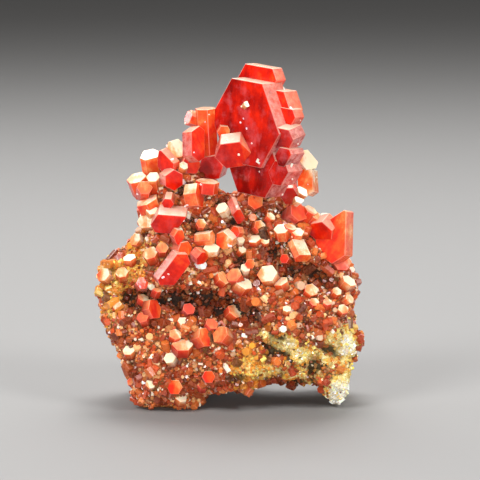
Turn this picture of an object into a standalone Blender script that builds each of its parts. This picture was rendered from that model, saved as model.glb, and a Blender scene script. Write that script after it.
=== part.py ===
"""Vanadinite on matrix: red hexagonal crystals on a broken piece of brown and ochre rock.

Every number in the tables is in millimetres, as the specimen is seen from the front by someone
who looks down on it by LOOK_DOWN. A place is (across, up, depth): across from the middle, up the
view from the toe of the front foot, and depth behind the middle of the rock.
"""
import math
import random
from collections import namedtuple

import bmesh
import bpy
from mathutils import Matrix, Vector, noise
from mathutils.bvhtree import BVHTree

MM = 0.001
LOOK_DOWN = math.radians(10)
FRONT_TOE_DEPTH = -8.0

# Rock
ROCK_CURVE_THICKNESS = 16 * MM
ROCK_VOXEL = 0.75 * MM
ROCK_FACES = 2400
SMOOTHINGS = 3
FRONT_LOW, FRONT_HIGH = 9.5, 5.0
BACK_LOW, BACK_HIGH = 10.5, 6.0
LOW_HEIGHT, HIGH_HEIGHT = 13.0, 34.0
EDGE_ROUNDING = 5.0
EDGE_SHARE = 0.42
ROUGHNESS = 0.55
BLOCKINESS = 0.75
BLOCK_SIZE = 3.2

# Crystals
CLEARANCE = 0.3 * MM
APOTHEM = math.cos(math.pi / 6)
SCATTER_SEED = 11
SCATTERED = 40
KEEP_OFF = 1.0 * MM

# The rock's outline across and up in its own plane, starting at the left foot and going clockwise.
# Points below zero are cut away level, which leaves the two feet flat.
ROCK_OUTLINE = [
    (-14.3, -0.8), (-15.0, 1.8), (-15.6, 4.6), (-17.1, 5.7), (-17.6, 10.5), (-18.8, 11.3),
    (-20.3, 14.6), (-19.9, 18.1), (-20.6, 20.5), (-20.0, 22.6), (-18.6, 23.4), (-17.0, 24.0),
    (-14.9, 26.6), (-13.9, 28.6), (-13.5, 31.8), (-12.0, 34.6), (-9.9, 36.8), (-5.9, 38.0),
    (-3.1, 36.0), (-1.9, 33.4), (1.0, 33.2), (5.6, 34.5), (9.3, 33.8), (11.7, 31.8),
    (14.9, 27.8), (18.1, 23.6), (20.0, 20.8), (20.7, 18.8), (20.2, 16.5), (19.9, 13.5),
    (20.6, 10.8), (20.5, 7.8), (20.0, 5.4), (19.5, 2.8), (19.1, -0.8), (16.7, -0.8),
    (15.8, 1.1), (14.1, 2.8), (12.6, 3.4), (10.2, 2.5), (8.8, 3.5), (6.7, 3.7),
    (5.1, 2.7), (3.5, 1.6), (0.2, 1.8), (-2.2, 1.9), (-4.6, 1.2), (-6.0, -0.8),
]

# Swellings and hollows of the rock's front: across, height, half width, half height, turn, rise.
Relief = namedtuple("Relief", "across height half_width half_height turn rise")
FRONT_RELIEF = [
    Relief(-6.0, 17.6, 8.0, 1.8, -4, -3.6),   # the dark groove across the middle, left half
    Relief(2.5, 15.4, 5.0, 1.5, -14, -2.6),   # its right half, lower down
    Relief(12.0, 21.8, 6.0, 2.0, -22, -4.0),  # the groove under the right crystals
    Relief(-4.0, 8.0, 10.0, 5.0, 0, 1.4),     # the belly over the left foot
    Relief(11.0, 15.0, 7.5, 3.0, -8, 1.6),    # the swelling right of the middle
    Relief(-8.0, 26.5, 5.0, 4.0, 0, 1.6),     # the rock behind the left crystals
    Relief(-17.0, 20.0, 3.0, 3.5, 0, -1.2),   # the ledge on the left
    Relief(5.0, 31.5, 5.0, 3.5, 0, -2.0),     # the saddle under the main crystal
    Relief(7.5, 9.8, 5.0, 0.8, -20, -2.2),    # clefts between the ochre ledges
    Relief(9.5, 6.6, 4.5, 0.8, -18, -2.0),
    Relief(8.5, 4.4, 4.0, 0.7, -6, -1.6),
    Relief(18.0, 9.6, 3.0, 0.8, -25, -1.8),
]
BACK_RELIEF = [
    Relief(-8.0, 27.0, 8.0, 2.0, 12, -2.2),
    Relief(9.0, 20.0, 9.0, 1.6, -15, -2.4),
    Relief(-4.0, 12.0, 9.0, 5.0, 20, 1.8),
    Relief(12.0, 9.0, 5.0, 4.0, -10, -2.0),
    Relief(-15.0, 9.0, 3.0, 5.0, 0, -1.5),
]

# One crystal: the middle of the six-sided end that faces the viewer, the way that end faces
# (right, up, towards the viewer), its turn, how far out each of the six sides has grown,
# the thickness behind that end, and the bevel round both ends. With no turn a side faces up.
Crystal = namedtuple("Crystal", "place faces turn sides thick bevel")


def even(place, faces, turn, across, thick, bevel=0):
    """A crystal with six equal sides, measured across two corners."""
    return Crystal(place, faces, turn, (across / 2 * APOTHEM,) * 6, thick, bevel)


def uneven(place, faces, turn, sides, thick, bevel=0):
    """A crystal with sides grown to six distances, anticlockwise from the one that faces up."""
    return Crystal(place, faces, turn, sides, thick, bevel)


def parallel(across, up, behind, sides, thick):
    """A plate grown in parallel with the main crystal, its end this far behind the main end."""
    axis = Vector(MAIN_FACES).normalized()
    right, rise = across - MAIN_PLACE[0], up - MAIN_PLACE[1]
    toward = -(right * axis.x + rise * axis.y + behind) / axis.z
    depth = MAIN_PLACE[2] - toward * math.cos(LOOK_DOWN) + rise * math.sin(LOOK_DOWN)
    return Crystal((across, up, depth), MAIN_FACES, MAIN_TURN, sides, thick, 0)


MAIN_PLACE = (2.9, 45.8, -5.4)
MAIN_FACES = (-0.67, -0.09, 0.737)
MAIN_TURN = -10

GROUPS = {
    "main_crystal": [
        parallel(2.9, 45.8, 0, (6.4, 6.25, 6.35, 6.85, 6.8, 5.8), 4.6),
        parallel(4.8, 52.2, 3.0, (2.42, 3.66, 3.6, 3.4, 3.14, 3.79), 2.3),
        parallel(8.3, 49.0, 2.6, (1.5, 2.6, 2.6, 2.6, 2.66, 1.33), 3.1),
        parallel(9.0, 46.7, 2.3, (1.1, 2.0, 2.5, 2.2, 2.02, 1.92), 2.2),
        uneven((8.8, 43.0, -10.1), (-0.62, -0.30, 0.72), -12, (1.56, 2.0, 2.4, 2.0, 1.7, 1.74), 3.2),
        parallel(9.0, 40.3, 0.1, (1.13, 1.6, 1.9, 1.8, 0.99, 1.32), 3.2),
        parallel(8.2, 37.8, 0.2, (1.65, 1.77, 2.17, 2.18, 1.53, 1.73), 3.4),
        parallel(4.8, 38.1, 0.7, (3.43, 4.9, 5.4, 4.1, 3.79, 4.2), 4.2),
        uneven((0.95, 40.5, -6.1), (-0.05, -0.62, 0.78), 9, (2.4, 2.55, 2.55, 2.4, 2.55, 2.55), 2.7),
        even((-0.4, 44.2, -3.4), (0.1, -0.2, 0.97), 0, 2.2, 1.6, 0.25),
        even((3.15, 48.5, -5.8), (0.3, 0.3, 0.9), 15, 1.1, 1.2),
    ],
    "upper_left_crystals": [
        even((-3.4, 48.1, -0.3), (-0.05, 0.98, 0.20), 40, 3.5, 7.5),
        even((-6.2, 46.7, 0.3), (-0.85, 0.25, 0.45), 10, 2.6, 2.6),
        uneven((-4.4, 42.7, -3.6), (0.70, 0.05, 0.71), 28, (2.12, 1.6, 2.8, 2.76, 1.3, 2.3), 2.15),
        even((-2.6, 38.6, -2.2), (-0.3, -0.2, 0.9), 8, 4.4, 3.2),
        even((-8.0, 41.7, -1.6), (0.15, 0.30, 0.94), 18, 3.4, 3.2, 0.3),
        uneven((-9.8, 39.5, -3.2), (-0.55, -0.29, 0.78), 13, (2.0, 1.4, 1.7, 1.7, 1.7, 1.05), 1.7),
        even((-6.8, 39.0, -3.6), (0.25, 0.50, 0.80), 25, 1.5, 1.6),
        even((-5.6, 39.2, -2.2), (0.4, 0.1, 0.9), 0, 3.4, 3.0),
        even((-8.3, 36.6, -5.0), (0.40, -0.20, 0.90), 36, 3.46, 2.6),
    ],
    "striped_crystal": [
        uneven((-12.3, 40.8, -0.8), (-0.12, 0.80, 0.58), 25, (1.4, 1.3, 1.6, 1.3, 1.45, 1.5), 4.4, 0.45),
    ],
    "left_end_crystals": [
        even((-14.4, 37.1, -1.2), (-0.30, 0.80, 0.52), 20, 3.4, 3.2, 0.25),
        even((-13.0, 35.5, -3.8), (0.10, 0.45, 0.88), 0, 2.6, 2.8, 0.35),
        even((-11.7, 37.2, -3.2), (-0.1, 0.65, 0.75), 0, 2.3, 3.2, 0.25),
    ],
    "left_edge_crystal": [
        even((-12.7, 33.5, -3.8), (-0.40, 0.85, 0.35), 14, 3.9, 1.8),
    ],
    "white_face_crystal": [
        uneven((-12.6, 30.5, -4.8), (-0.35, 0.25, 0.90), 3, (1.6, 1.38, 1.64, 1.39, 1.27, 1.33), 2.8, 0.2),
        even((-11.8, 32.0, -5.3), (0.10, 0.50, 0.85), 10, 2.0, 2.0),
    ],
    "broad_red_crystal": [
        uneven((-9.2, 29.8, -8.0), (-0.10, -0.50, 0.86), -5, (1.5, 2.2, 2.7, 1.9, 1.8, 3.1), 3.2),
        even((-9.3, 32.9, -6.6), (-0.10, -0.50, 0.86), -5, 2.0, 2.4),
    ],
    "small_upright_plate": [
        uneven((-7.4, 27.7, -9.2), (0.50, -0.25, 0.83), 0, (1.1, 0.9, 0.9, 1.3, 0.9, 0.9), 1.5),
    ],
    "leaning_plate": [
        uneven((-8.1, 22.3, -10.2), (0.42, -0.36, 0.83), 59, (1.6, 3.1, 2.4, 1.5, 2.85, 2.9), 2.0),
        even((-6.5, 25.8, -9.0), (0.50, -0.10, 0.85), 10, 2.6, 2.4),
    ],
    "square_block_crystal": [
        even((-4.2, 34.2, -7.0), (0.94, 0.12, 0.30), -10, 4.2, 2.1),
    ],
    "ledge_crystal": [
        even((-3.0, 36.5, -5.3), (0.12, 0.95, 0.25), 8, 3.8, 1.9),
    ],
    "middle_plate": [
        uneven((1.9, 30.8, -7.4), (0.28, -0.68, 0.68), 6, (1.6, 1.3, 0.75, 1.5, 1.2, 0.8), 3.0),
    ],
    "cream_edge_plate": [
        uneven((-0.5, 27.0, -8.8), (-0.45, -0.30, 0.84), -44, (1.3, 1.5, 1.3, 1.3, 1.3, 1.5), 1.8),
    ],
    "thin_plate": [
        even((1.3, 28.5, -8.0), (-0.60, 0.00, 0.80), -10, 1.9, 1.3),
    ],
    "striped_prism": [
        even((-2.2, 27.6, -8.6), (0.90, 0.10, 0.42), 20, 2.3, 2.8),
    ],
    "white_top_plate": [
        even((-2.4, 26.0, -9.0), (0.05, 0.80, 0.60), 10, 2.7, 1.0),
        even((-3.8, 24.3, -9.4), (0.60, -0.50, 0.62), 0, 2.6, 1.8),
    ],
    "ringed_crystal": [
        even((-4.0, 29.8, -8.2), (0.10, 0.25, 0.96), 0, 1.7, 1.8, 0.2),
    ],
    "split_white_crystal": [
        even((-0.8, 32.3, -6.8), (-0.35, 0.55, 0.75), 15, 2.1, 1.6),
    ],
    "right_column": [
        uneven((13.0, 40.0, -1.6), (0.25, 0.10, 0.96), 10, (1.55, 1.4, 1.4, 1.6, 1.6, 0.9), 3.6, 0.3),
        uneven((12.5, 36.5, -2.0), (-0.30, 0.05, 0.95), -26, (2.15, 1.9, 1.35, 1.9, 2.0, 1.13), 3.3, 0.2),
        uneven((12.0, 34.9, -3.8), (0.35, 0.30, 0.89), -27, (0.6, 1.0, 0.72, 0.55, 1.05, 0.74), 1.8),
        uneven((11.4, 33.5, -4.6), (0.35, 0.30, 0.89), -21, (0.45, 0.8, 0.6, 0.45, 0.6, 0.84), 1.8),
        uneven((9.8, 34.2, -4.4), (0.05, -0.60, 0.80), 0, (1.5, 1.3, 1.3, 1.7, 1.3, 1.3), 4.2),
        even((11.4, 31.7, -3.6), (0.50, 0.40, 0.75), 15, 3.4, 3.2),
    ],
    "ridge_crystals": [
        even((13.4, 32.0, -2.6), (0.50, 0.72, 0.48), 20, 2.4, 2.6),
        even((14.4, 31.0, -2.8), (0.50, 0.66, 0.56), 12, 2.3, 2.4),
        even((15.8, 31.0, -2.2), (0.25, 0.80, 0.55), 0, 2.0, 2.6),
        even((15.5, 29.7, -3.4), (0.20, 0.70, 0.68), 20, 2.2, 2.4),
    ],
    "right_end_crystal": [
        uneven((16.4, 27.3, -4.6), (-0.50, 0.05, 0.86), -30, (5.2, 2.9, 2.7, 3.2, 3.53, 2.7), 2.6),
        even((14.9, 28.3, -4.2), (-0.45, -0.50, 0.74), 10, 4.4, 2.8),
        even((18.3, 23.8, -3.8), (0.2, 0.3, 0.9), 0, 3.2, 3.0, 0.3),
    ],
    "cream_stepped_plate": [
        even((8.6, 29.0, -6.2), (-0.15, 0.75, 0.65), 6, 2.6, 1.9),
        even((10.1, 29.3, -5.8), (0.30, 0.85, 0.43), 20, 2.2, 0.7),
    ],
    "pink_stepped_plate": [
        even((11.2, 28.5, -6.4), (0.15, 0.70, 0.70), -2, 2.1, 1.8),
    ],
    "cream_face_plate": [
        uneven((12.0, 24.3, -8.3), (0.33, -0.76, 0.56), 0, (0.85, 1.35, 1.35, 0.85, 1.35, 1.35), 3.3),
    ],
}

# Smaller crystals grown on the rock's front: across, up, the way the end faces, turn, width
# across two corners, thickness. Their depth is wherever the rock's face is.
Seed = namedtuple("Seed", "across up faces turn width thick")
SEEDED = [
    Seed(2.8, 22.4, (0.2, 0.6, 0.8), 15, 1.6, 1.6), Seed(3.6, 23.3, (0.1, 0.2, 0.9), 0, 1.6, 1.4),
    Seed(2.3, 19.9, (0.45, 0.70, 0.55), 10, 3.2, 1.7), Seed(1.4, 21.2, (-0.3, 0.5, 0.8), 0, 2.6, 2.0),
    Seed(-0.8, 20.9, (0.55, 0.55, 0.6), 18, 2.5, 1.4), Seed(8.7, 20.1, (-0.3, 0.8, 0.5), 0, 2.5, 1.4),
    Seed(6.6, 21.4, (-0.25, 0.5, 0.8), 8, 3.3, 2.0), Seed(13.1, 18.9, (0.3, 0.5, 0.8), 12, 2.3, 1.8),
    Seed(17.2, 18.7, (0.3, 0.6, 0.75), 15, 1.6, 1.4), Seed(19.0, 17.6, (0.6, 0.4, 0.7), 0, 1.6, 1.5),
    Seed(19.0, 20.2, (0.5, 0.7, 0.5), 5, 2.5, 1.6), Seed(15.8, 17.0, (0.1, 0.7, 0.7), 20, 1.5, 1.3),
    Seed(13.7, 17.1, (0.2, 0.6, 0.8), 0, 1.6, 1.2), Seed(18.2, 16.0, (0.3, 0.5, 0.8), 10, 1.8, 1.3),
    Seed(9.4, 16.0, (0.1, 0.7, 0.7), 25, 1.4, 1.2), Seed(0.9, 15.5, (0.55, 0.6, 0.6), 10, 2.7, 1.5),
    Seed(2.1, 26.9, (0.2, 0.6, 0.75), 0, 1.3, 1.2), Seed(2.2, 25.4, (0.4, 0.5, 0.75), 12, 1.4, 1.3),
    Seed(6.0, 26.8, (0.1, 0.5, 0.85), 20, 1.4, 1.2), Seed(4.4, 27.0, (-0.2, 0.8, 0.55), 0, 2.2, 0.9),
    Seed(4.9, 29.2, (0.5, 0.3, 0.8), 10, 2.1, 1.3), Seed(6.7, 30.6, (0.5, 0.6, 0.6), 0, 1.6, 1.2),
    Seed(4.4, 33.1, (0.1, 0.2, 0.95), 25, 2.6, 2.4), Seed(9.4, 24.1, (-0.4, 0.2, 0.9), 0, 1.6, 1.6),
    Seed(-13.3, 17.6, (0.3, 0.8, 0.5), 10, 2.1, 1.1), Seed(-11.9, 16.2, (0.8, 0.2, 0.55), 0, 3.4, 1.4),
    Seed(-13.1, 14.6, (-0.2, 0.5, 0.8), 14, 2.0, 1.8), Seed(-6.2, 16.0, (0.3, 0.5, 0.8), 10, 2.1, 1.4),
    Seed(-7.0, 14.0, (0.2, 0.7, 0.7), 0, 1.8, 1.2), Seed(-4.0, 11.7, (0.78, 0.30, 0.55), 0, 3.4, 1.6),
    Seed(-0.5, 12.0, (-0.6, 0.4, 0.7), 0, 3.0, 1.9), Seed(-7.0, 10.2, (0.05, 0.78, 0.62), 0, 3.4, 1.6),
    Seed(-8.8, 8.3, (-0.3, 0.5, 0.8), 12, 2.0, 1.5), Seed(-8.2, 12.0, (0.2, 0.6, 0.75), 20, 2.1, 1.2),
    Seed(-15.4, 9.4, (-0.2, 0.6, 0.75), 0, 2.0, 1.3), Seed(-12.2, 4.2, (0.2, 0.4, 0.9), 15, 1.6, 1.4),
    Seed(-8.1, 3.9, (-0.2, 0.1, 0.97), 0, 2.5, 1.5), Seed(-7.4, 1.8, (0.2, 0.7, 0.7), 10, 2.0, 1.4),
    Seed(-3.0, 5.6, (0.2, 0.1, 0.95), 0, 2.1, 1.5), Seed(-3.9, 3.9, (0.1, 0.7, 0.7), 0, 1.7, 1.2),
    Seed(-2.6, 13.6, (0.4, 0.6, 0.7), 0, 2.2, 1.4), Seed(-15.0, 4.3, (-0.5, 0.5, 0.7), 0, 1.7, 1.3),
    Seed(-14.1, 27.0, (-0.6, 0.4, 0.7), 0, 2.2, 1.6), Seed(-11.8, 24.6, (-0.3, 0.6, 0.7), 20, 2.6, 1.8),
    Seed(-10.2, 25.6, (0.1, 0.5, 0.85), 0, 2.0, 1.6), Seed(-19.2, 21.4, (-0.5, 0.4, 0.75), 0, 2.4, 1.6),
    Seed(-16.5, 21.6, (-0.1, 0.6, 0.8), 12, 2.1, 1.6), Seed(-15.3, 23.9, (-0.2, 0.8, 0.5), 0, 2.2, 1.3),
    Seed(-13.5, 20.2, (0.3, 0.3, 0.9), 0, 2.1, 1.5), Seed(-11.2, 19.0, (0.3, 0.7, 0.65), 10, 1.7, 1.6),
]


def seen(right, up, toward):
    """The direction in the row's frame that a viewer at the front sees as right, up and towards."""
    tilt_sine, tilt_cosine = math.sin(LOOK_DOWN), math.cos(LOOK_DOWN)
    return Vector((right, up * tilt_sine - toward * tilt_cosine, up * tilt_cosine + toward * tilt_sine))


def stands_at(across, up, depth):
    """The point, in metres, that is seen this far across and up at this depth."""
    rise = (depth - FRONT_TOE_DEPTH) * math.sin(LOOK_DOWN)
    return Vector((across, depth, (up - rise) / math.cos(LOOK_DOWN))) * MM


def new_collection(name, shown):
    """A collection in the scene; one that isn't shown holds cutters and pieces to be joined."""
    made = bpy.data.collections.new(name)
    bpy.context.scene.collection.children.link(made)
    made.hide_render = not shown
    return made


def new_object(name, mesh, collection):
    """An object of the mesh in the collection, as a wire helper where the collection isn't shown."""
    made = bpy.data.objects.new(name, mesh)
    collection.objects.link(made)
    if collection.hide_render:
        made.hide_render = True
        made.display_type = "WIRE"
    return made


def axis_turn(faces, turn):
    """The rotation that points a crystal's end along faces, a side upwards and then turned."""
    axis = seen(*faces).normalized()
    upward = seen(0, 1, 0) if abs(axis.dot(seen(0, 1, 0))) < 0.93 else seen(0, 0, 1)
    first_side = (upward - axis * axis.dot(upward)).normalized()
    frame = Matrix((first_side, axis.cross(first_side), axis)).transposed()
    return frame @ Matrix.Rotation(math.radians(turn), 3, "Z")


def corner_of_sides(first, second, side):
    """Where a side and the next one meet, the sides standing sixty degrees apart."""
    low, high = math.radians(60 * side), math.radians(60 * side + 60)
    sine = math.sin(high - low)
    x = (first * math.sin(high) - second * math.sin(low)) / sine
    y = (second * math.cos(low) - first * math.cos(high)) / sine
    return x, y


def crystal_mesh(name, made, extra=0.0):
    """A six-sided prism behind its end, bevelled, or with extra, plain and larger all round."""
    bm = bmesh.new()
    distances = [side * MM + extra for side in made.sides]
    bmesh.ops.create_cone(
        bm, cap_ends=True, segments=6, radius1=MM, radius2=MM, depth=made.thick * MM + 2 * extra)
    for vertex in bm.verts:
        around = math.degrees(math.atan2(vertex.co.y, vertex.co.x)) % 360
        side = int(around // 60)
        vertex.co.x, vertex.co.y = corner_of_sides(distances[side], distances[(side + 1) % 6], side)
        vertex.co.z -= made.thick * MM / 2
    if made.bevel and not extra:
        ends = [edge for edge in bm.edges if edge.verts[0].co.z == edge.verts[1].co.z]
        bmesh.ops.bevel(bm, geom=ends, offset=made.bevel * MM, segments=1, affect="EDGES")
    bmesh.ops.recalc_face_normals(bm, faces=bm.faces)
    mesh = bpy.data.meshes.new(name)
    bm.to_mesh(mesh)
    bm.free()
    return mesh


def place_crystal(name, made, end, collection, extra=0.0):
    """The crystal as an object, with the middle of its end at a point in metres."""
    placed = new_object(name, crystal_mesh(name, made, extra), collection)
    placed.matrix_world = Matrix.Translation(end) @ axis_turn(made.faces, made.turn).to_4x4()
    return placed


def join_with(target, collection, operation):
    """Joins everything in the collection to the target, or cuts it out of the target."""
    boolean = target.modifiers.new(collection.name, "BOOLEAN")
    boolean.operation = operation
    boolean.operand_type = "COLLECTION"
    boolean.collection = collection
    boolean.solver = "EXACT"


def material(name, colour, roughness):
    """A plain surface in the piece's colour."""
    made = bpy.data.materials.new(name)
    made.use_nodes = True
    surface = made.node_tree.nodes["Principled BSDF"]
    surface.inputs["Base Color"].default_value = (*colour, 1)
    surface.inputs["Roughness"].default_value = roughness
    surface.inputs["Metallic"].default_value = 0
    return made


def relief_at(across, height, swellings):
    """The sum of the swellings and hollows at a place on the rock, in millimetres."""
    total = 0.0
    for swelling in swellings:
        cosine, sine = math.cos(math.radians(swelling.turn)), math.sin(math.radians(swelling.turn))
        right, up = across - swelling.across, height - swelling.height
        along = (right * cosine + up * sine) / swelling.half_width
        over = (up * cosine - right * sine) / swelling.half_height
        total += swelling.rise * math.exp(-(along * along + over * over))
    return total


def inset_from_outline(across, height):
    """How far a place lies inside the rock's outline, in millimetres."""
    here = Vector((across, height))
    nearest = math.inf
    for start, end in zip(ROCK_OUTLINE, ROCK_OUTLINE[1:] + ROCK_OUTLINE[:1]):
        start, along = Vector(start), Vector(end) - Vector(start)
        share = max(0.0, min(1.0, (here - start).dot(along) / along.length_squared))
        nearest = min(nearest, (here - start - along * share).length)
    return nearest


def rock_depth(across, height, in_front):
    """How far the rock stands out from its middle plane at a place, in millimetres."""
    climb = max(0.0, min(1.0, (height - LOW_HEIGHT) / (HIGH_HEIGHT - LOW_HEIGHT)))
    low, high = (FRONT_LOW, FRONT_HIGH) if in_front else (BACK_LOW, BACK_HIGH)
    swellings = FRONT_RELIEF if in_front else BACK_RELIEF
    inset = min(1.0, inset_from_outline(across, height) / EDGE_ROUNDING)
    rounding = EDGE_SHARE + (1 - EDGE_SHARE) * math.sqrt(1 - (1 - inset) ** 2)
    return (low + (high - low) * climb + relief_at(across, height, swellings)) * rounding


def slab_from_outline():
    """The rock's outline as a flat filled curve, given a thickness and made an upright mesh."""
    curve = bpy.data.curves.new("rock_outline", "CURVE")
    curve.dimensions = "2D"
    curve.fill_mode = "BOTH"
    curve.extrude = ROCK_CURVE_THICKNESS / 2
    spline = curve.splines.new("POLY")
    spline.points.add(len(ROCK_OUTLINE) - 1)
    spline.use_cyclic_u = True
    for point, (across, height) in zip(spline.points, ROCK_OUTLINE):
        point.co = (across * MM, height * MM, 0, 1)
    drawn = bpy.data.objects.new("rock_outline", curve)
    bpy.context.scene.collection.objects.link(drawn)
    bpy.context.view_layer.update()
    graph = bpy.context.evaluated_depsgraph_get()
    mesh = bpy.data.meshes.new_from_object(drawn.evaluated_get(graph))
    bpy.data.objects.remove(drawn)
    bm = bmesh.new()
    bm.from_mesh(mesh)
    bmesh.ops.remove_doubles(bm, verts=bm.verts, dist=0.01 * MM)
    bmesh.ops.rotate(bm, verts=bm.verts, matrix=Matrix.Rotation(math.pi / 2, 3, "X"))
    bmesh.ops.recalc_face_normals(bm, faces=bm.faces)
    bm.to_mesh(mesh)
    bm.free()
    return mesh


def remeshed(mesh, voxel, faces=None):
    """The mesh rebuilt on an even grid, and thinned to about the number of faces where given."""
    holder = bpy.data.objects.new("remeshing", mesh)
    bpy.context.scene.collection.objects.link(holder)
    remesh = holder.modifiers.new("Remesh", "REMESH")
    remesh.mode = "VOXEL"
    remesh.voxel_size = voxel
    bpy.context.view_layer.update()
    if faces:
        easing = holder.modifiers.new("Smooth", "SMOOTH")
        easing.factor = 0.5
        easing.iterations = SMOOTHINGS
        full = len(holder.evaluated_get(bpy.context.evaluated_depsgraph_get()).data.polygons) * 2
        thinning = holder.modifiers.new("Decimate", "DECIMATE")
        thinning.ratio = faces / full
        thinning.use_collapse_triangulate = True
        bpy.context.view_layer.update()
    made = bpy.data.meshes.new_from_object(holder.evaluated_get(bpy.context.evaluated_depsgraph_get()))
    bpy.data.objects.remove(holder)
    return made


def push_to_depth(mesh):
    """Moves the slab's two faces out or in, to the depths of the rock's front and back."""
    half = ROCK_CURVE_THICKNESS / 2
    for vertex in mesh.vertices:
        across, height = vertex.co.x / MM, vertex.co.z / MM
        share = max(-1.0, min(1.0, vertex.co.y / half))
        vertex.co.y = share * rock_depth(across, height, share < 0) * MM


def roughen(mesh):
    """Breaks the smooth rock into blocks and lumps along its normals."""
    mesh.update()
    normals = [vertex.normal.copy() for vertex in mesh.vertices]
    for vertex, normal in zip(mesh.vertices, normals):
        place = vertex.co / MM
        lump = noise.fractal(place / 4.0, 0.9, 2.1, 4)
        block = noise.cell(place / BLOCK_SIZE) - 0.5
        vertex.co += normal * (ROUGHNESS * lump + BLOCKINESS * block) * MM


def rock_mesh():
    """The bare rock, broken all round, with two feet cut level on the ground."""
    mesh = remeshed(slab_from_outline(), ROCK_VOXEL)
    push_to_depth(mesh)
    mesh = remeshed(mesh, ROCK_VOXEL)
    roughen(mesh)
    mesh = remeshed(mesh, ROCK_VOXEL, ROCK_FACES)
    bm = bmesh.new()
    bm.from_mesh(mesh)
    everything = bm.verts[:] + bm.edges[:] + bm.faces[:]
    cut = bmesh.ops.bisect_plane(
        bm, geom=everything, plane_co=(0, 0, 0), plane_no=(0, 0, -1), clear_outer=True)
    rim = [item for item in cut["geom_cut"] if isinstance(item, bmesh.types.BMEdge)]
    bmesh.ops.triangle_fill(bm, edges=rim, use_beauty=True)
    bmesh.ops.triangulate(bm, faces=bm.faces)
    bmesh.ops.recalc_face_normals(bm, faces=bm.faces)
    bm.to_mesh(mesh)
    bm.free()
    return mesh


def rock_face(tree, across, up):
    """Where the line of sight through a place meets the rock, and the rock's normal there."""
    start = stands_at(across, up, FRONT_TOE_DEPTH) + seen(0, 0, 1) * 60 * MM
    point, normal, _, _ = tree.ray_cast(start, -seen(0, 0, 1))
    return point, normal


def seed_crystals(tree, collection):
    """The smaller crystals that are placed one by one, each sunk by a third into the rock."""
    for number, seed in enumerate(SEEDED):
        point, _ = rock_face(tree, seed.across, seed.up)
        if point is None:
            continue
        made = even(None, seed.faces, seed.turn, seed.width, seed.thick, 0)
        end = point + (seen(0, 0, 1) * 0.2 + seen(*seed.faces).normalized() * 0.5) * seed.thick * MM
        place_crystal(f"seeded_{number}", made, end, collection)


def scatter_crystals(rock, collection, rooms):
    """Small crystals at random on the rock's front, top and sides, away from the large ones."""
    chance = random.Random(SCATTER_SEED)
    taken = [reach(placed) for placed in rooms.objects]
    faces = [face for face in rock.polygons if face.normal.y < 0.35 and face.center.z > 5 * MM]
    areas = [face.area for face in faces]
    for number, face in enumerate(chance.choices(faces, areas, k=SCATTERED)):
        width = chance.uniform(1.1, 2.1)
        lean = Vector([chance.gauss(0, 0.45) for _ in range(3)])
        axis = (face.normal + lean).normalized()
        made = even(None, None, 0, width, width * chance.uniform(0.8, 1.2), 0)
        placed = new_object(f"scattered_{number}", crystal_mesh("scattered", made), collection)
        turned = axis.to_track_quat("Z", "Y").to_matrix() @ Matrix.Rotation(
            chance.uniform(0, math.pi / 3), 3, "Z")
        end = face.center + axis * made.thick * 0.6 * MM
        if any((end - middle).length < radius + KEEP_OFF for middle, radius in taken):
            bpy.data.objects.remove(placed)
            continue
        placed.matrix_world = Matrix.Translation(end) @ turned.to_4x4()


def grow_groups(parts, red, all_rooms):
    """Each group of large crystals as one solid, clear of the groups that stand before it."""
    earlier = []
    for name, members in GROUPS.items():
        joined = new_collection(name + "_joined", False)
        room = new_collection(name + "_room", False)
        for number, member in enumerate(members):
            end = stands_at(*member.place)
            if number:
                place_crystal(f"{name}_{number}", member, end, joined)
            else:
                node = place_crystal(name, member, end, parts)
            cutter = place_crystal(f"{name}_room_{number}", member, end, room, CLEARANCE)
            all_rooms.objects.link(cutter)
        node.data.materials.append(red)
        if len(members) > 1:
            join_with(node, joined, "UNION")
        for other in earlier:
            if rooms_meet(room, other):
                join_with(node, other, "DIFFERENCE")
        earlier.append(room)


def reach(placed):
    """The middle of a placed crystal and the radius of the ball round it."""
    corners = [placed.matrix_world @ vertex.co for vertex in placed.data.vertices]
    middle = sum(corners, Vector()) / len(corners)
    return middle, max((corner - middle).length for corner in corners)


def rooms_meet(room, other):
    """Whether any crystal of one group comes near one of another group."""
    balls = [reach(placed) for placed in other.objects]
    return any(
        (middle - point).length < radius + size
        for middle, radius in map(reach, room.objects) for point, size in balls)


def centre_on_floor(parts):
    """Moves everything so that the whole specimen is centred over the origin."""
    bpy.context.view_layer.update()
    graph = bpy.context.evaluated_depsgraph_get()
    corners = []
    for node in parts.objects:
        mesh = node.evaluated_get(graph).data
        corners += [node.matrix_world @ vertex.co for vertex in mesh.vertices]
    middle = [(min(axis) + max(axis)) / 2 for axis in list(zip(*corners))[:2]]
    shift = Matrix.Translation((-middle[0], -middle[1], 0))
    for placed in bpy.data.objects:
        placed.matrix_world = shift @ placed.matrix_world
    print("moved across and back, mm:", [round(-part / MM, 3) for part in middle])


def build():
    for old in list(bpy.data.objects):
        bpy.data.objects.remove(old)
    parts = new_collection("vanadinite_specimen", True)
    red = material("vanadinite", (0.62, 0.06, 0.02), 0.2)
    brown = material("rock", (0.36, 0.20, 0.10), 0.8)
    rooms = new_collection("all_rooms", False)
    grow_groups(parts, red, rooms)
    rock = rock_mesh()
    rock.materials.append(brown)
    matrix = new_object("matrix", rock, parts)
    small = new_collection("small_crystals", False)
    tree = BVHTree.FromPolygons(
        [vertex.co for vertex in rock.vertices], [tuple(face.vertices) for face in rock.polygons])
    seed_crystals(tree, small)
    scatter_crystals(rock, small, rooms)
    join_with(matrix, small, "UNION")
    join_with(matrix, rooms, "DIFFERENCE")
    centre_on_floor(parts)


build()
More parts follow.
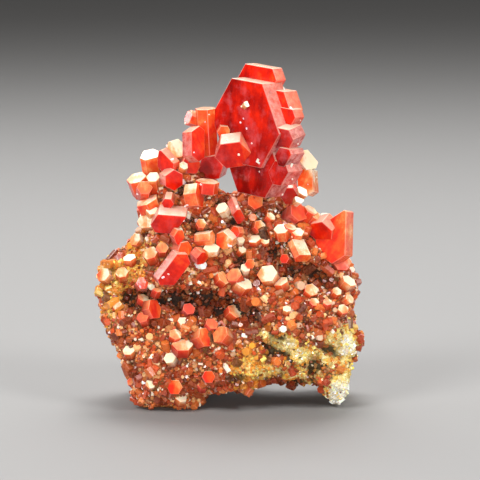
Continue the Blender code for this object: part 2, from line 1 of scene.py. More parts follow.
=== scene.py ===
# %% [markdown]
# # Vanadinite on its rock
# The real piece is a hand specimen: stout six-sided red crystals stand on a broken lump of ore,
# and a crust of crystals a millimetre across covers the rock between them. The solid model
# gives the places and the sizes. This lesson grows a crisp, glassy crystal for each solid one,
# breaks up the rock and sows the crust. We first load the solids and note their box, because
# nothing made here may outgrow it.

# %% Load the solids
import math
import random
from collections import namedtuple

import bpy
import numpy as np
from mathutils import Matrix, Vector, noise
from mathutils.bvhtree import BVHTree


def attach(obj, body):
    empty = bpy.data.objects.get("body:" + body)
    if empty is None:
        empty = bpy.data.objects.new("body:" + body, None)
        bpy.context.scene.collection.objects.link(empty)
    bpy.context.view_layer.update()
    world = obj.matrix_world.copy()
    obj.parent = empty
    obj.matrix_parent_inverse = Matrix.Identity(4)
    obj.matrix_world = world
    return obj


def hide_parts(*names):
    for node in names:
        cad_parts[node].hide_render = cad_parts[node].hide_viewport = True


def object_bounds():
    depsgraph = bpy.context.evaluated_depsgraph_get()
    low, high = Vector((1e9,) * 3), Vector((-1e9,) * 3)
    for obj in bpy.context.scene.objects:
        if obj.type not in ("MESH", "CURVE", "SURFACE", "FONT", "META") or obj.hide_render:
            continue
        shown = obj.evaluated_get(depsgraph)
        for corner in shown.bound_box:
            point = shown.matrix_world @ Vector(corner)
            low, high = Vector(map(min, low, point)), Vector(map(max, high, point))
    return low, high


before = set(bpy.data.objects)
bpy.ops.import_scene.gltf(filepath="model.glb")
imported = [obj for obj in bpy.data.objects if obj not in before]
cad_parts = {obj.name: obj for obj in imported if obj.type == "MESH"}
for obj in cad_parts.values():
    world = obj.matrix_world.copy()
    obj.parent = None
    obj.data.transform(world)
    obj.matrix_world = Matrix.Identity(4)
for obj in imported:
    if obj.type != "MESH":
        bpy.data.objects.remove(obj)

MM = 0.001
SOLID_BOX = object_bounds()
bpy.ops.object.select_all(action="DESELECT")
print("solids:", len(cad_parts), "box mm:", [round((b - a) / MM, 1) for a, b in zip(*SOLID_BOX)])

# %% [markdown]
# Every crystal is noted as the viewer sees it: across, up the view, and how deep it stands.
# The specimen is seen from ten degrees above, so two small helpers turn such a note into a
# direction and a point in the room. The third turns a crystal so that its six-sided end faces
# the noted way. A reader could drag and rotate each one by hand, but numbers stay repeatable.

# %% Places as the viewer sees them
LOOK_DOWN = math.radians(10)
FRONT_TOE_DEPTH = -8.0
MIDDLE = Vector((-0.337, -0.201, 0)) * MM


def seen(right, up, toward):
    """The direction that a viewer at the front sees as right, up and towards."""
    sine, cosine = math.sin(LOOK_DOWN), math.cos(LOOK_DOWN)
    return Vector((right, up * sine - toward * cosine, up * cosine + toward * sine))


def stands_at(across, up, depth):
    """The point seen this many millimetres across and up, at this depth."""
    rise = (depth - FRONT_TOE_DEPTH) * math.sin(LOOK_DOWN)
    return Vector((across, depth, (up - rise) / math.cos(LOOK_DOWN))) * MM + MIDDLE


def axis_turn(faces, turn):
    """The rotation that points an end along faces, with a side upwards and then turned."""
    axis = seen(*faces).normalized()
    upward = seen(0, 1, 0) if abs(axis.dot(seen(0, 1, 0))) < 0.93 else seen(0, 0, 1)
    first_side = (upward - axis * axis.dot(upward)).normalized()
    turned = Matrix((first_side, axis.cross(first_side), axis)).transposed()
    return turned @ Matrix.Rotation(math.radians(turn), 3, "Z")


print("the view looks along", [round(part, 2) for part in -seen(0, 0, 1)])

# %% [markdown]
# ## The camera
# A long lens from near by keeps the specimen's upright lines parallel, as in a product picture.
# It goes in first, so that every later step can be judged through it.

# %% Camera
VIEW_DISTANCE = 0.45
VIEW_WIDTH = 0.0768
AIM = Vector((1.74, -0.20, 26.21)) * MM
lens = bpy.data.cameras.new("front_camera")
lens.sensor_width = 36
lens.lens = 36 * VIEW_DISTANCE / VIEW_WIDTH
camera = bpy.data.objects.new("front_camera", lens)
bpy.context.scene.collection.objects.link(camera)
camera.location = AIM + seen(0, 0, 1) * VIEW_DISTANCE
camera.rotation_euler = (-seen(0, 0, 1)).to_track_quat("-Z", "Y").to_euler()
bpy.context.scene.camera = camera
print("camera lens mm:", round(lens.lens, 1))

# %% [markdown]
# ## The large crystals
# Each row gives the middle of the end that faces the viewer, the way it faces, its turn, how far
# its six sides have grown, its thickness and its tone. The tone runs from 0, the dark cherry red
# of thick crystals, over orange-red to 1, the cream of frosted ones. Rows are grouped as the
# crystals are grown together, one group for each solid.

# %% The table of large crystals
Crystal = namedtuple("Crystal", "place faces turn sides thick tone")
APOTHEM = math.cos(math.pi / 6)


def even(place, faces, turn, across, thick, tone):
    """A crystal with six equal sides, measured across two corners."""
    return Crystal(place, faces, turn, (across / 2 * APOTHEM,) * 6, thick, tone)


MAIN_PLACE, MAIN_FACES, MAIN_TURN = (2.9, 45.8, -5.4), (-0.67, -0.09, 0.737), -10


def parallel(across, up, behind, sides, thick, tone):
    """A plate grown in parallel with the main crystal, its end this far behind the main end."""
    axis = Vector(MAIN_FACES).normalized()
    right, rise = across - MAIN_PLACE[0], up - MAIN_PLACE[1]
    toward = -(right * axis.x + rise * axis.y + behind) / axis.z
    depth = MAIN_PLACE[2] - toward * math.cos(LOOK_DOWN) + rise * math.sin(LOOK_DOWN)
    return Crystal((across, up, depth), MAIN_FACES, MAIN_TURN, sides, thick, tone)


GROUPS = {
    "main_crystal": [
        parallel(2.9, 45.8, 0, (6.4, 6.25, 6.35, 6.85, 6.8, 5.8), 4.6, 0.30),
        parallel(4.8, 52.2, 3.0, (2.42, 3.66, 3.6, 3.4, 3.14, 3.79), 2.3, 0.42),
        parallel(8.3, 49.0, 2.6, (1.5, 2.6, 2.6, 2.6, 2.66, 1.33), 3.1, 0.46),
        parallel(9.0, 46.7, 2.3, (1.1, 2.0, 2.5, 2.2, 2.02, 1.92), 2.2, 0.42),
        Crystal((8.8, 43.0, -10.1), (-0.62, -0.30, 0.72), -12, (1.56, 2.0, 2.4, 2.0, 1.7, 1.74), 3.2, 0.22),
        parallel(9.0, 40.3, 0.1, (1.13, 1.6, 1.9, 1.8, 0.99, 1.32), 3.2, 0.20),
        parallel(8.2, 37.8, 0.2, (1.65, 1.77, 2.17, 2.18, 1.53, 1.73), 3.4, 0.30),
        parallel(4.8, 38.1, 0.7, (3.43, 4.9, 5.4, 4.1, 3.79, 4.2), 4.2, 0.16),
        Crystal((0.95, 40.5, -6.1), (-0.05, -0.62, 0.78), 9, (2.4, 2.55, 2.55, 2.4, 2.55, 2.55), 2.7, 0.46),
        even((-0.4, 44.2, -3.4), (0.1, -0.2, 0.97), 0, 2.2, 1.6, 0.66),
        even((3.15, 48.5, -5.8), (0.3, 0.3, 0.9), 15, 1.1, 1.2, 0.98),
    ],
    "upper_left_crystals": [
        even((-3.4, 48.1, -0.3), (-0.05, 0.98, 0.20), 40, 3.5, 7.5, 0.58),
        even((-6.2, 46.7, 0.3), (-0.85, 0.25, 0.45), 10, 2.6, 2.6, 0.70),
        Crystal((-4.4, 42.7, -3.6), (0.70, 0.05, 0.71), 28, (2.12, 1.6, 2.8, 2.76, 1.3, 2.3), 2.15, 0.40),
        even((-2.6, 38.6, -2.2), (-0.3, -0.2, 0.9), 8, 4.4, 3.2, 0.24),
        even((-8.0, 41.7, -1.6), (0.15, 0.30, 0.94), 18, 3.4, 3.2, 0.82),
        Crystal((-9.8, 39.5, -3.2), (-0.55, -0.29, 0.78), 13, (2.0, 1.4, 1.7, 1.7, 1.7, 1.05), 1.7, 0.45),
        even((-6.8, 39.0, -3.6), (0.25, 0.50, 0.80), 25, 1.5, 1.6, 0.90),
        even((-5.6, 39.2, -2.2), (0.4, 0.1, 0.9), 0, 3.4, 3.0, 0.44),
        even((-8.3, 36.6, -5.0), (0.40, -0.20, 0.90), 36, 3.46, 2.6, 0.38),
    ],
    "striped_crystal": [
        Crystal((-12.3, 40.8, -0.8), (-0.12, 0.80, 0.58), 25, (1.4, 1.3, 1.6, 1.3, 1.45, 1.5), 4.4, 0.72),
    ],
    "left_end_crystals": [
        even((-14.4, 37.1, -1.2), (-0.30, 0.80, 0.52), 20, 3.4, 3.2, 0.58),
        even((-13.0, 35.5, -3.8), (0.10, 0.45, 0.88), 0, 2.6, 2.8, 0.54),
        even((-11.7, 37.2, -3.2), (-0.1, 0.65, 0.75), 0, 2.3, 3.2, 0.74),
    ],
    "left_edge_crystal": [
        even((-12.7, 33.5, -3.8), (-0.40, 0.85, 0.35), 14, 3.9, 1.8, 0.62),
    ],
    "white_face_crystal": [
        Crystal((-12.6, 30.5, -4.8), (-0.35, 0.25, 0.90), 3, (1.6, 1.38, 1.64, 1.39, 1.27, 1.33), 2.8, 0.92),
        even((-11.8, 32.0, -5.3), (0.10, 0.50, 0.85), 10, 2.0, 2.0, 0.90),
    ],
    "broad_red_crystal": [
        Crystal((-9.2, 29.8, -8.0), (-0.10, -0.50, 0.86), -5, (1.5, 2.2, 2.7, 1.9, 1.8, 3.1), 3.2, 0.38),
        even((-9.3, 32.9, -6.6), (-0.10, -0.50, 0.86), -5, 2.0, 2.4, 0.50),
    ],
    "small_upright_plate": [
        Crystal((-7.4, 27.7, -9.2), (0.50, -0.25, 0.83), 0, (1.1, 0.9, 0.9, 1.3, 0.9, 0.9), 1.5, 0.48),
    ],
    "leaning_plate": [
        Crystal((-8.1, 22.3, -10.2), (0.42, -0.36, 0.83), 59, (1.6, 3.1, 2.4, 1.5, 2.85, 2.9), 2.0, 0.38),
        even((-6.5, 25.8, -9.0), (0.50, -0.10, 0.85), 10, 2.6, 2.4, 0.62),
    ],
    "square_block_crystal": [
        even((-4.2, 34.2, -7.0), (0.94, 0.12, 0.30), -10, 4.2, 2.1, 0.66),
    ],
    "ledge_crystal": [
        even((-3.0, 36.5, -5.3), (0.12, 0.95, 0.25), 8, 3.8, 1.9, 0.58),
    ],
    "middle_plate": [
        Crystal((1.9, 30.8, -7.4), (0.28, -0.68, 0.68), 6, (1.6, 1.3, 0.75, 1.5, 1.2, 0.8), 3.0, 0.42),
    ],
    "cream_edge_plate": [
        Crystal((-0.5, 27.0, -8.8), (-0.45, -0.30, 0.84), -44, (1.3, 1.5, 1.3, 1.3, 1.3, 1.5), 1.8, 0.75),
    ],
    "thin_plate": [
        even((1.3, 28.5, -8.0), (-0.60, 0.00, 0.80), -10, 1.9, 1.3, 0.66),
    ],
    "striped_prism": [
        even((-2.2, 27.6, -8.6), (0.90, 0.10, 0.42), 20, 2.3, 2.8, 0.72),
    ],
    "white_top_plate": [
        even((-2.4, 26.0, -9.0), (0.05, 0.80, 0.60), 10, 2.7, 1.0, 0.85),
        even((-3.8, 24.3, -9.4), (0.60, -0.50, 0.62), 0, 2.6, 1.8, 0.45),
    ],
    "ringed_crystal": [
        even((-4.0, 29.8, -8.2), (0.10, 0.25, 0.96), 0, 1.7, 1.8, 0.66),
    ],
    "split_white_crystal": [
        even((-0.8, 32.3, -6.8), (-0.35, 0.55, 0.75), 15, 2.1, 1.6, 0.95),
    ],
    "right_column": [
        Crystal((13.0, 40.0, -1.6), (0.25, 0.10, 0.96), 10, (1.55, 1.4, 1.4, 1.6, 1.6, 0.9), 3.6, 0.95),
        Crystal((12.5, 36.5, -2.0), (-0.30, 0.05, 0.95), -26, (2.15, 1.9, 1.35, 1.9, 2.0, 1.13), 3.3, 0.81),
        Crystal((12.0, 34.9, -3.8), (0.35, 0.30, 0.89), -27, (0.6, 1.0, 0.72, 0.55, 1.05, 0.74), 1.8, 0.97),
        Crystal((11.4, 33.5, -4.6), (0.35, 0.30, 0.89), -21, (0.45, 0.8, 0.6, 0.45, 0.6, 0.84), 1.8, 0.97),
        Crystal((9.8, 34.2, -4.4), (0.05, -0.60, 0.80), 0, (1.5, 1.3, 1.3, 1.7, 1.3, 1.3), 4.2, 0.20),
        even((11.4, 31.7, -3.6), (0.50, 0.40, 0.75), 15, 3.4, 3.2, 0.45),
    ],
    "ridge_crystals": [
        even((13.4, 32.0, -2.6), (0.50, 0.72, 0.48), 20, 2.4, 2.6, 0.66),
        even((14.4, 31.0, -2.8), (0.50, 0.66, 0.56), 12, 2.3, 2.4, 0.55),
        even((15.8, 31.0, -2.2), (0.25, 0.80, 0.55), 0, 2.0, 2.6, 0.70),
        even((15.5, 29.7, -3.4), (0.20, 0.70, 0.68), 20, 2.2, 2.4, 0.42),
    ],
    "right_end_crystal": [
        Crystal((16.4, 27.3, -4.6), (-0.50, 0.05, 0.86), -30, (5.2, 2.9, 2.7, 3.2, 3.53, 2.7), 2.6, 0.60),
        even((14.9, 28.3, -4.2), (-0.45, -0.50, 0.74), 10, 4.4, 2.8, 0.48),
        even((18.3, 23.8, -3.8), (0.2, 0.3, 0.9), 0, 3.2, 3.0, 0.60),
    ],
    "cream_stepped_plate": [
        even((8.6, 29.0, -6.2), (-0.15, 0.75, 0.65), 6, 2.6, 1.9, 0.80),
        even((10.1, 29.3, -5.8), (0.30, 0.85, 0.43), 20, 2.2, 0.7, 0.70),
    ],
    "pink_stepped_plate": [
        even((11.2, 28.5, -6.4), (0.15, 0.70, 0.70), -2, 2.1, 1.8, 0.68),
    ],
    "cream_face_plate": [
        Crystal((12.0, 24.3, -8.3), (0.33, -0.76, 0.56), 0, (0.85, 1.35, 1.35, 0.85, 1.35, 1.35), 3.3, 0.74),
    ],
}
print("large crystals:", sum(len(members) for members in GROUPS.values()))

# %% [markdown]
# ## Growing one crystal
# A six-sided cylinder is the start. Its corners move to where the noted sides meet, and every
# edge gets a narrow bevel, which catches the thin bright line that a real edge shows.
# Before a crystal is put in its place, each of its points keeps its own position within the
# crystal in an attribute, so that growth lines run round the sides however the crystal stands.
# Each face keeps how clear it is, whether it is a bevel and how far it looks up. The ends are
# clear, and the sides of crystals that lie down are frosted. Faces turned up are painted paler,
# a painted highlight from the lamps above: on the deep red crystals they turn pink, and on the
# others they shift to orange and cream. Bevels get a little of it too, and each point keeps how
# near it lies to the foot, where the crystal is painted darker as shade.

# %% One crystal
chance = random.Random(5)


def corner_of_sides(first, second, side):
    """Where a side and the next one meet, the sides standing sixty degrees apart."""
    low, high = math.radians(60 * side), math.radians(60 * side + 60)
    sine = math.sin(high - low)
    x = (first * math.sin(high) - second * math.sin(low)) / sine
    y = (second * math.cos(low) - first * math.cos(high)) / sine
    return x, y


def is_end(face):
    """Whether a face of an unplaced crystal looks along its axis."""
    return abs(face.normal.z) > 0.9


def six_sided_prism(sides, thick, bevel, segments=2):
    """A bevelled six-sided prism lying behind its end, which is at the origin."""
    bpy.ops.mesh.primitive_cylinder_add(
        vertices=6, radius=MM, depth=thick * MM, location=(0, 0, 0))
    prism = bpy.context.object
    for vertex in prism.data.vertices:
        around = math.degrees(math.atan2(vertex.co.y, vertex.co.x)) % 360
        side = int(around // 60)
        x, y = corner_of_sides(sides[side], sides[(side + 1) % 6], side)
        vertex.co = Vector((x * MM, y * MM, vertex.co.z - thick / 2 * MM))
    bpy.ops.object.mode_set(mode="EDIT")
    bpy.ops.mesh.select_all(action="SELECT")
    bpy.ops.mesh.bevel(offset=bevel * MM, segments=segments, affect="EDGES")
    bpy.ops.object.mode_set(mode="OBJECT")
    return prism


def clear_and_edge(face, upright):
    """How clear a face of an unplaced crystal is, an end the most, and whether it is a bevel."""
    tilt, around = abs(face.normal.z), math.degrees(math.atan2(face.normal.y, face.normal.x)) % 60
    if tilt > 0.95:
        return 1.0, 0.0
    if tilt < 0.2 and min(around, 60 - around) < 8:
        return upright, 0.0
    return 0.0, 1.0


def note_growth(mesh, tone, placed, shade, top_light_cream):
    """Writes each point's place and painted foot shade, and each face's kind with its painted highlight, then puts it
    in its place.
    """
    elsewhere = Vector([chance.uniform(-80, 80) for _ in range(3)])
    places = mesh.attributes.new("grown", "FLOAT_VECTOR", "POINT")
    places.data.foreach_set(
        "vector", [part for vertex in mesh.vertices for part in vertex.co / MM + elsewhere])
    behind = max(-vertex.co.z for vertex in mesh.vertices)
    # Painted shade: each point notes how near it lies to the crystal's foot, to be darkened there.
    foot_shades = mesh.attributes.new("foot", "FLOAT", "POINT")
    foot_shades.data.foreach_set("value", [-vertex.co.z / behind * shade for vertex in mesh.vertices])
    upright = 0.8 * max(0.0, placed[2][2]) ** 2
    shares = [clear_and_edge(face, upright) for face in mesh.polygons]
    mesh.transform(placed)
    middle = sum((vertex.co for vertex in mesh.vertices), Vector()) / len(mesh.vertices)
    size = max((vertex.co - middle).length for vertex in mesh.vertices)
    kinds = mesh.attributes.new("kind", "FLOAT_COLOR", "CORNER")
    for face, (clear, edge) in zip(mesh.polygons, shares):
        # Painted highlight: a face turned up gets a paler tone and a cream share.
        upward = max(0.0, face.normal.z) ** 2
        for corner, point in zip(face.loop_indices, face.vertices):
            aside = (mesh.vertices[point].co - middle) / size
            tone_and_top_light = tone + 0.13 * aside.x + 0.07 * aside.z + 0.6 * (1 - top_light_cream) * upward
            kinds.data[corner].color = (clear, tone_and_top_light, top_light_cream * upward, edge)


def grow(made, top_light_cream):
    """A finished crystal standing in its place."""
    prism = six_sided_prism(made.sides, made.thick, min(0.11, 0.03 + 0.04 * min(made.sides)))
    end = stands_at(*made.place)
    turned = axis_turn(made.faces, made.turn).to_4x4()
    note_growth(prism.data, made.tone, Matrix.Translation(end) @ turned, 0.25, top_light_cream)
    return prism


def join_as(name, pieces):
    """Several pieces as one object of this name."""
    bpy.ops.object.select_all(action="DESELECT")
    for piece in pieces:
        piece.select_set(True)
    bpy.context.view_layer.objects.active = pieces[0]
    if len(pieces) > 1:
        bpy.ops.object.join()
    joined = bpy.context.object
    joined.name = joined.data.name = name
    joined.select_set(False)
    return joined


# %% [markdown]
# Now the groups are grown. Every group is one object that stands for one solid: it rides on the
# specimen's one body and hides the plain solid. The crystals' finish is given to it further on.

# %% Grow the groups
# How much of the painted highlight on faces turned up is cream; the rest shifts the tone.
TOP_LIGHT_CREAM = {"main_crystal": 1.0, "broad_red_crystal": 1.0, "leaning_plate": 1.0, "middle_plate": 1.0,
            "right_end_crystal": 1.0, "upper_left_crystals": 0.8}
large_crystals = []
for node_name, members in GROUPS.items():
    top_light_cream = TOP_LIGHT_CREAM.get(node_name, 0.35)
    group = join_as("grown_" + node_name, [grow(member, top_light_cream) for member in members])
    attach(group, "root")
    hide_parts(node_name)
    large_crystals.append(group)
print("groups grown:", len(large_crystals), "faces:", sum(len(g.data.polygons) for g in large_crystals))

# %% [markdown]
# ## The rock
# The ore is a limonite and baryte breccia: brown, with ochre on the left shelf, yellow crumbly
# ledges at the lower right and a nearly white foot. The solid rock is a start. A copy of it is
# merged, rebuilt on a fine grid and broken up along its normals by noise of four sizes, from
# broad swells to crumbs, and small hollows and clefts are sunk into it. The places of the
# colours are noted as soft patches. The hollows, the clefts, the groove and the places under
# the crystals are also noted as dark, which is painted shade.

# %% The rock's patches
Patch = namedtuple("Patch", "across up half_width half_height turn ochre pale dark")
PATCHES = [
    Patch(-18.0, 21.0, 3.6, 3.6, 30, 1.0, 0.10, 0.0),    # the shelf on the left
    Patch(-13.5, 25.0, 3.6, 2.6, 35, 0.7, 0.10, 0.0),
    Patch(-19.6, 14.5, 1.6, 4.0, 0, 0.35, 0.15, 0.0),
    Patch(3.5, 6.6, 3.2, 3.2, -20, 1.0, 0.25, 0.0),      # ledges at the lower right
    Patch(8.0, 11.2, 4.2, 1.5, -22, 0.9, 0.55, 0.0),
    Patch(13.0, 8.6, 4.5, 2.2, -15, 0.9, 0.60, 0.0),
    Patch(18.4, 11.0, 2.6, 2.4, -20, 0.9, 0.65, 0.0),
    Patch(19.6, 8.0, 1.6, 6.0, 0, 0.8, 0.50, 0.0),
    Patch(10.0, 5.6, 5.0, 1.3, -8, 0.8, 0.35, 0.0),
    Patch(17.6, 2.6, 2.4, 2.8, -20, 0.3, 1.30, 0.0),     # the white foot
    # Painted shade: these dark patches paint the clefts, the groove and the places under the crystals dark, where they
    # are also sunk.
    Patch(8.0, 9.3, 4.4, 0.55, -28, 0.0, 0.0, 1.2),      # dark clefts between the ledges
    Patch(7.0, 13.0, 2.6, 0.45, -30, 0.0, 0.0, 1.1),
    Patch(10.5, 4.2, 4.4, 0.8, -6, 0.0, 0.0, 1.1),
    Patch(14.5, 6.5, 3.2, 0.8, -10, 0.0, 0.0, 0.9),
    Patch(16.5, 9.6, 2.8, 0.6, -25, 0.0, 0.0, 0.9),
    Patch(-6.0, 17.6, 8.5, 1.9, -4, 0.0, 0.0, 1.0),      # the groove across the middle
    Patch(2.0, 15.6, 5.0, 1.2, -14, 0.0, 0.0, 0.8),
    Patch(12.0, 21.8, 6.0, 1.8, -22, 0.0, 0.0, 0.9),
    Patch(1.0, 29.8, 1.6, 1.2, 0, 0.0, 0.0, 1.0),
    Patch(6.0, 33.6, 3.2, 1.2, 0, 0.0, 0.0, 0.7),
]


def as_seen(point):
    """Across and up, in millimetres, of a point in the room as the viewer sees it."""
    place = (point - MIDDLE) / MM
    up = place.z * math.cos(LOOK_DOWN) + (place.y - FRONT_TOE_DEPTH) * math.sin(LOOK_DOWN)
    return place.x, up


def patches_at(point):
    """How ochre and pale the rock is at a point, and how dark with painted shade, each from 0 to about 1."""
    across, up = as_seen(point)
    shift = noise.noise_vector(point / MM * 0.45) * 0.9
    ochre = pale = dark = 0.0
    front = 1.0 if point.y < 0 else 0.45
    for patch in PATCHES:
        cosine, sine = math.cos(math.radians(patch.turn)), math.sin(math.radians(patch.turn))
        right, rise = across + shift.x - patch.across, up + shift.y - patch.up
        along = (right * cosine + rise * sine) / patch.half_width
        over = (rise * cosine - right * sine) / patch.half_height
        share = math.exp(-(along * along + over * over) ** 1.5) * front
        ochre, pale = ochre + share * patch.ochre, pale + share * patch.pale
        dark += share * patch.dark
    ochre, pale = min(1.0, ochre), min(1.0, pale)
    # The small hollows add to the painted shade.
    return ochre, pale, min(1.0, dark + 0.8 * hollow_at(point) * (1 - 0.8 * pale))


def hollow_at(point):
    """How far a point lies in one of the small hollows of the rock, from 0 to 1."""
    return min(1.0, max(0.0, 4.0 * noise.noise(point / MM * 0.30) - 0.7))


print("patches:", len(PATCHES))

# %% Break up the rock
ROCK_GRID = 0.32 * MM
rock = bpy.data.objects.new("broken_rock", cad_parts["matrix"].data.copy())
bpy.context.scene.collection.objects.link(rock)
bpy.context.view_layer.objects.active = rock
rock.select_set(True)
bpy.ops.object.mode_set(mode="EDIT")
bpy.ops.mesh.select_all(action="SELECT")
bpy.ops.mesh.remove_doubles(threshold=0.001 * MM)
bpy.ops.object.mode_set(mode="OBJECT")
bare_tree = BVHTree.FromPolygons(
    [vertex.co for vertex in rock.data.vertices], [tuple(face.vertices) for face in rock.data.polygons])
grid = rock.modifiers.new("Remesh", "REMESH")
grid.mode = "VOXEL"
grid.voxel_size = ROCK_GRID
bpy.ops.object.modifier_apply(modifier=grid.name)
easing = rock.modifiers.new("Smooth", "SMOOTH")
easing.factor = 0.5
easing.iterations = 3
bpy.ops.object.modifier_apply(modifier=easing.name)


def crumble(point, crumbly):
    """How far the rock's face moves out at a point, in millimetres."""
    place = point / MM
    blocks = noise.cell(place * 0.55 + noise.noise_vector(place * 0.3)) - 0.5
    swells = noise.noise(place * 0.26 + Vector((7, 3, 5)))
    lumps = noise.fractal(place * 0.8, 1.0, 2.0, 3)
    crumbs = 0.5 - noise.voronoi(place * (1.6 + crumbly), distance_metric="DISTANCE")[0][0]
    return (0.30 + 0.25 * crumbly) * blocks + 0.60 * swells + 0.28 * lumps + (0.30 + 0.35 * crumbly) * crumbs


rock_patches = [patches_at(vertex.co) for vertex in rock.data.vertices]
unbroken = [vertex.co.copy() for vertex in rock.data.vertices]
outward = [vertex.normal.copy() for vertex in rock.data.vertices]
FRONT_LIMIT, BACK_LIMIT = SOLID_BOX[0][1] - 0.1 * MM, SOLID_BOX[1][1] + 0.1 * MM
for vertex, normal, (ochre, pale, dark) in zip(rock.data.vertices, outward, rock_patches):
    if vertex.co.z > 0.25 * MM:
        vertex.co += normal * (crumble(vertex.co, ochre) - 0.9 * dark) * MM
    vertex.co.z = max(vertex.co.z, 0.0)
    vertex.co.y = min(max(vertex.co.y, FRONT_LIMIT), BACK_LIMIT)
rock.data.update()
print("rock points:", len(rock.data.vertices))

# %% [markdown]
# The rock is darkened where it lies closed in, as painted shade. A few short rays from each point
# of the rock count how open it lies, and that number and the patches are kept as attributes.

# %% Note how open the rock lies
rock_tree = BVHTree.FromPolygons(
    [vertex.co for vertex in rock.data.vertices], [tuple(face.vertices) for face in rock.data.polygons])
ROUND = [Vector((x, y, z)).normalized()
         for x in (-1, 0, 1) for y in (-1, 0, 1) for z in (-1, 0, 1) if x or y or z]


def openness(point, normal, reach):
    """The share of short rays that leave a point without meeting the rock."""
    start = point + normal * 0.08 * MM
    tried = [ray for ray in ROUND if ray.dot(normal) > 0.3]
    free = sum(rock_tree.ray_cast(start, ray, reach)[0] is None for ray in tried)
    return free / max(1, len(tried))


rock_open = [openness(vertex.co, vertex.normal, 3 * MM) for vertex in rock.data.vertices]
# Painted shade: where the rock lies closed in, the dark channel is raised.
patchwork = rock.data.attributes.new("patchwork", "FLOAT_COLOR", "POINT")
patchwork.data.foreach_set("color", [
    part for (ochre, pale, dark), free in zip(rock_patches, rock_open)
    for part in (ochre, pale, max(dark, 1 - 1.15 * free), 1.0)])
for face in rock.data.polygons:
    face.use_smooth = True
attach(rock, "root")
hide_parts("matrix")
rock.select_set(False)
print("mean openness:", round(sum(rock_open) / len(rock_open), 2))

# %% [markdown]
# ## The smaller crystals
# Fifty crystals of one to three millimetres stand one by one on the rock's front. The solid rock
# carries each of them already, as a plain prism. A line of sight through the noted place meets
# that prism, and stepping back by the way it has gone inside gives the place of the new one.

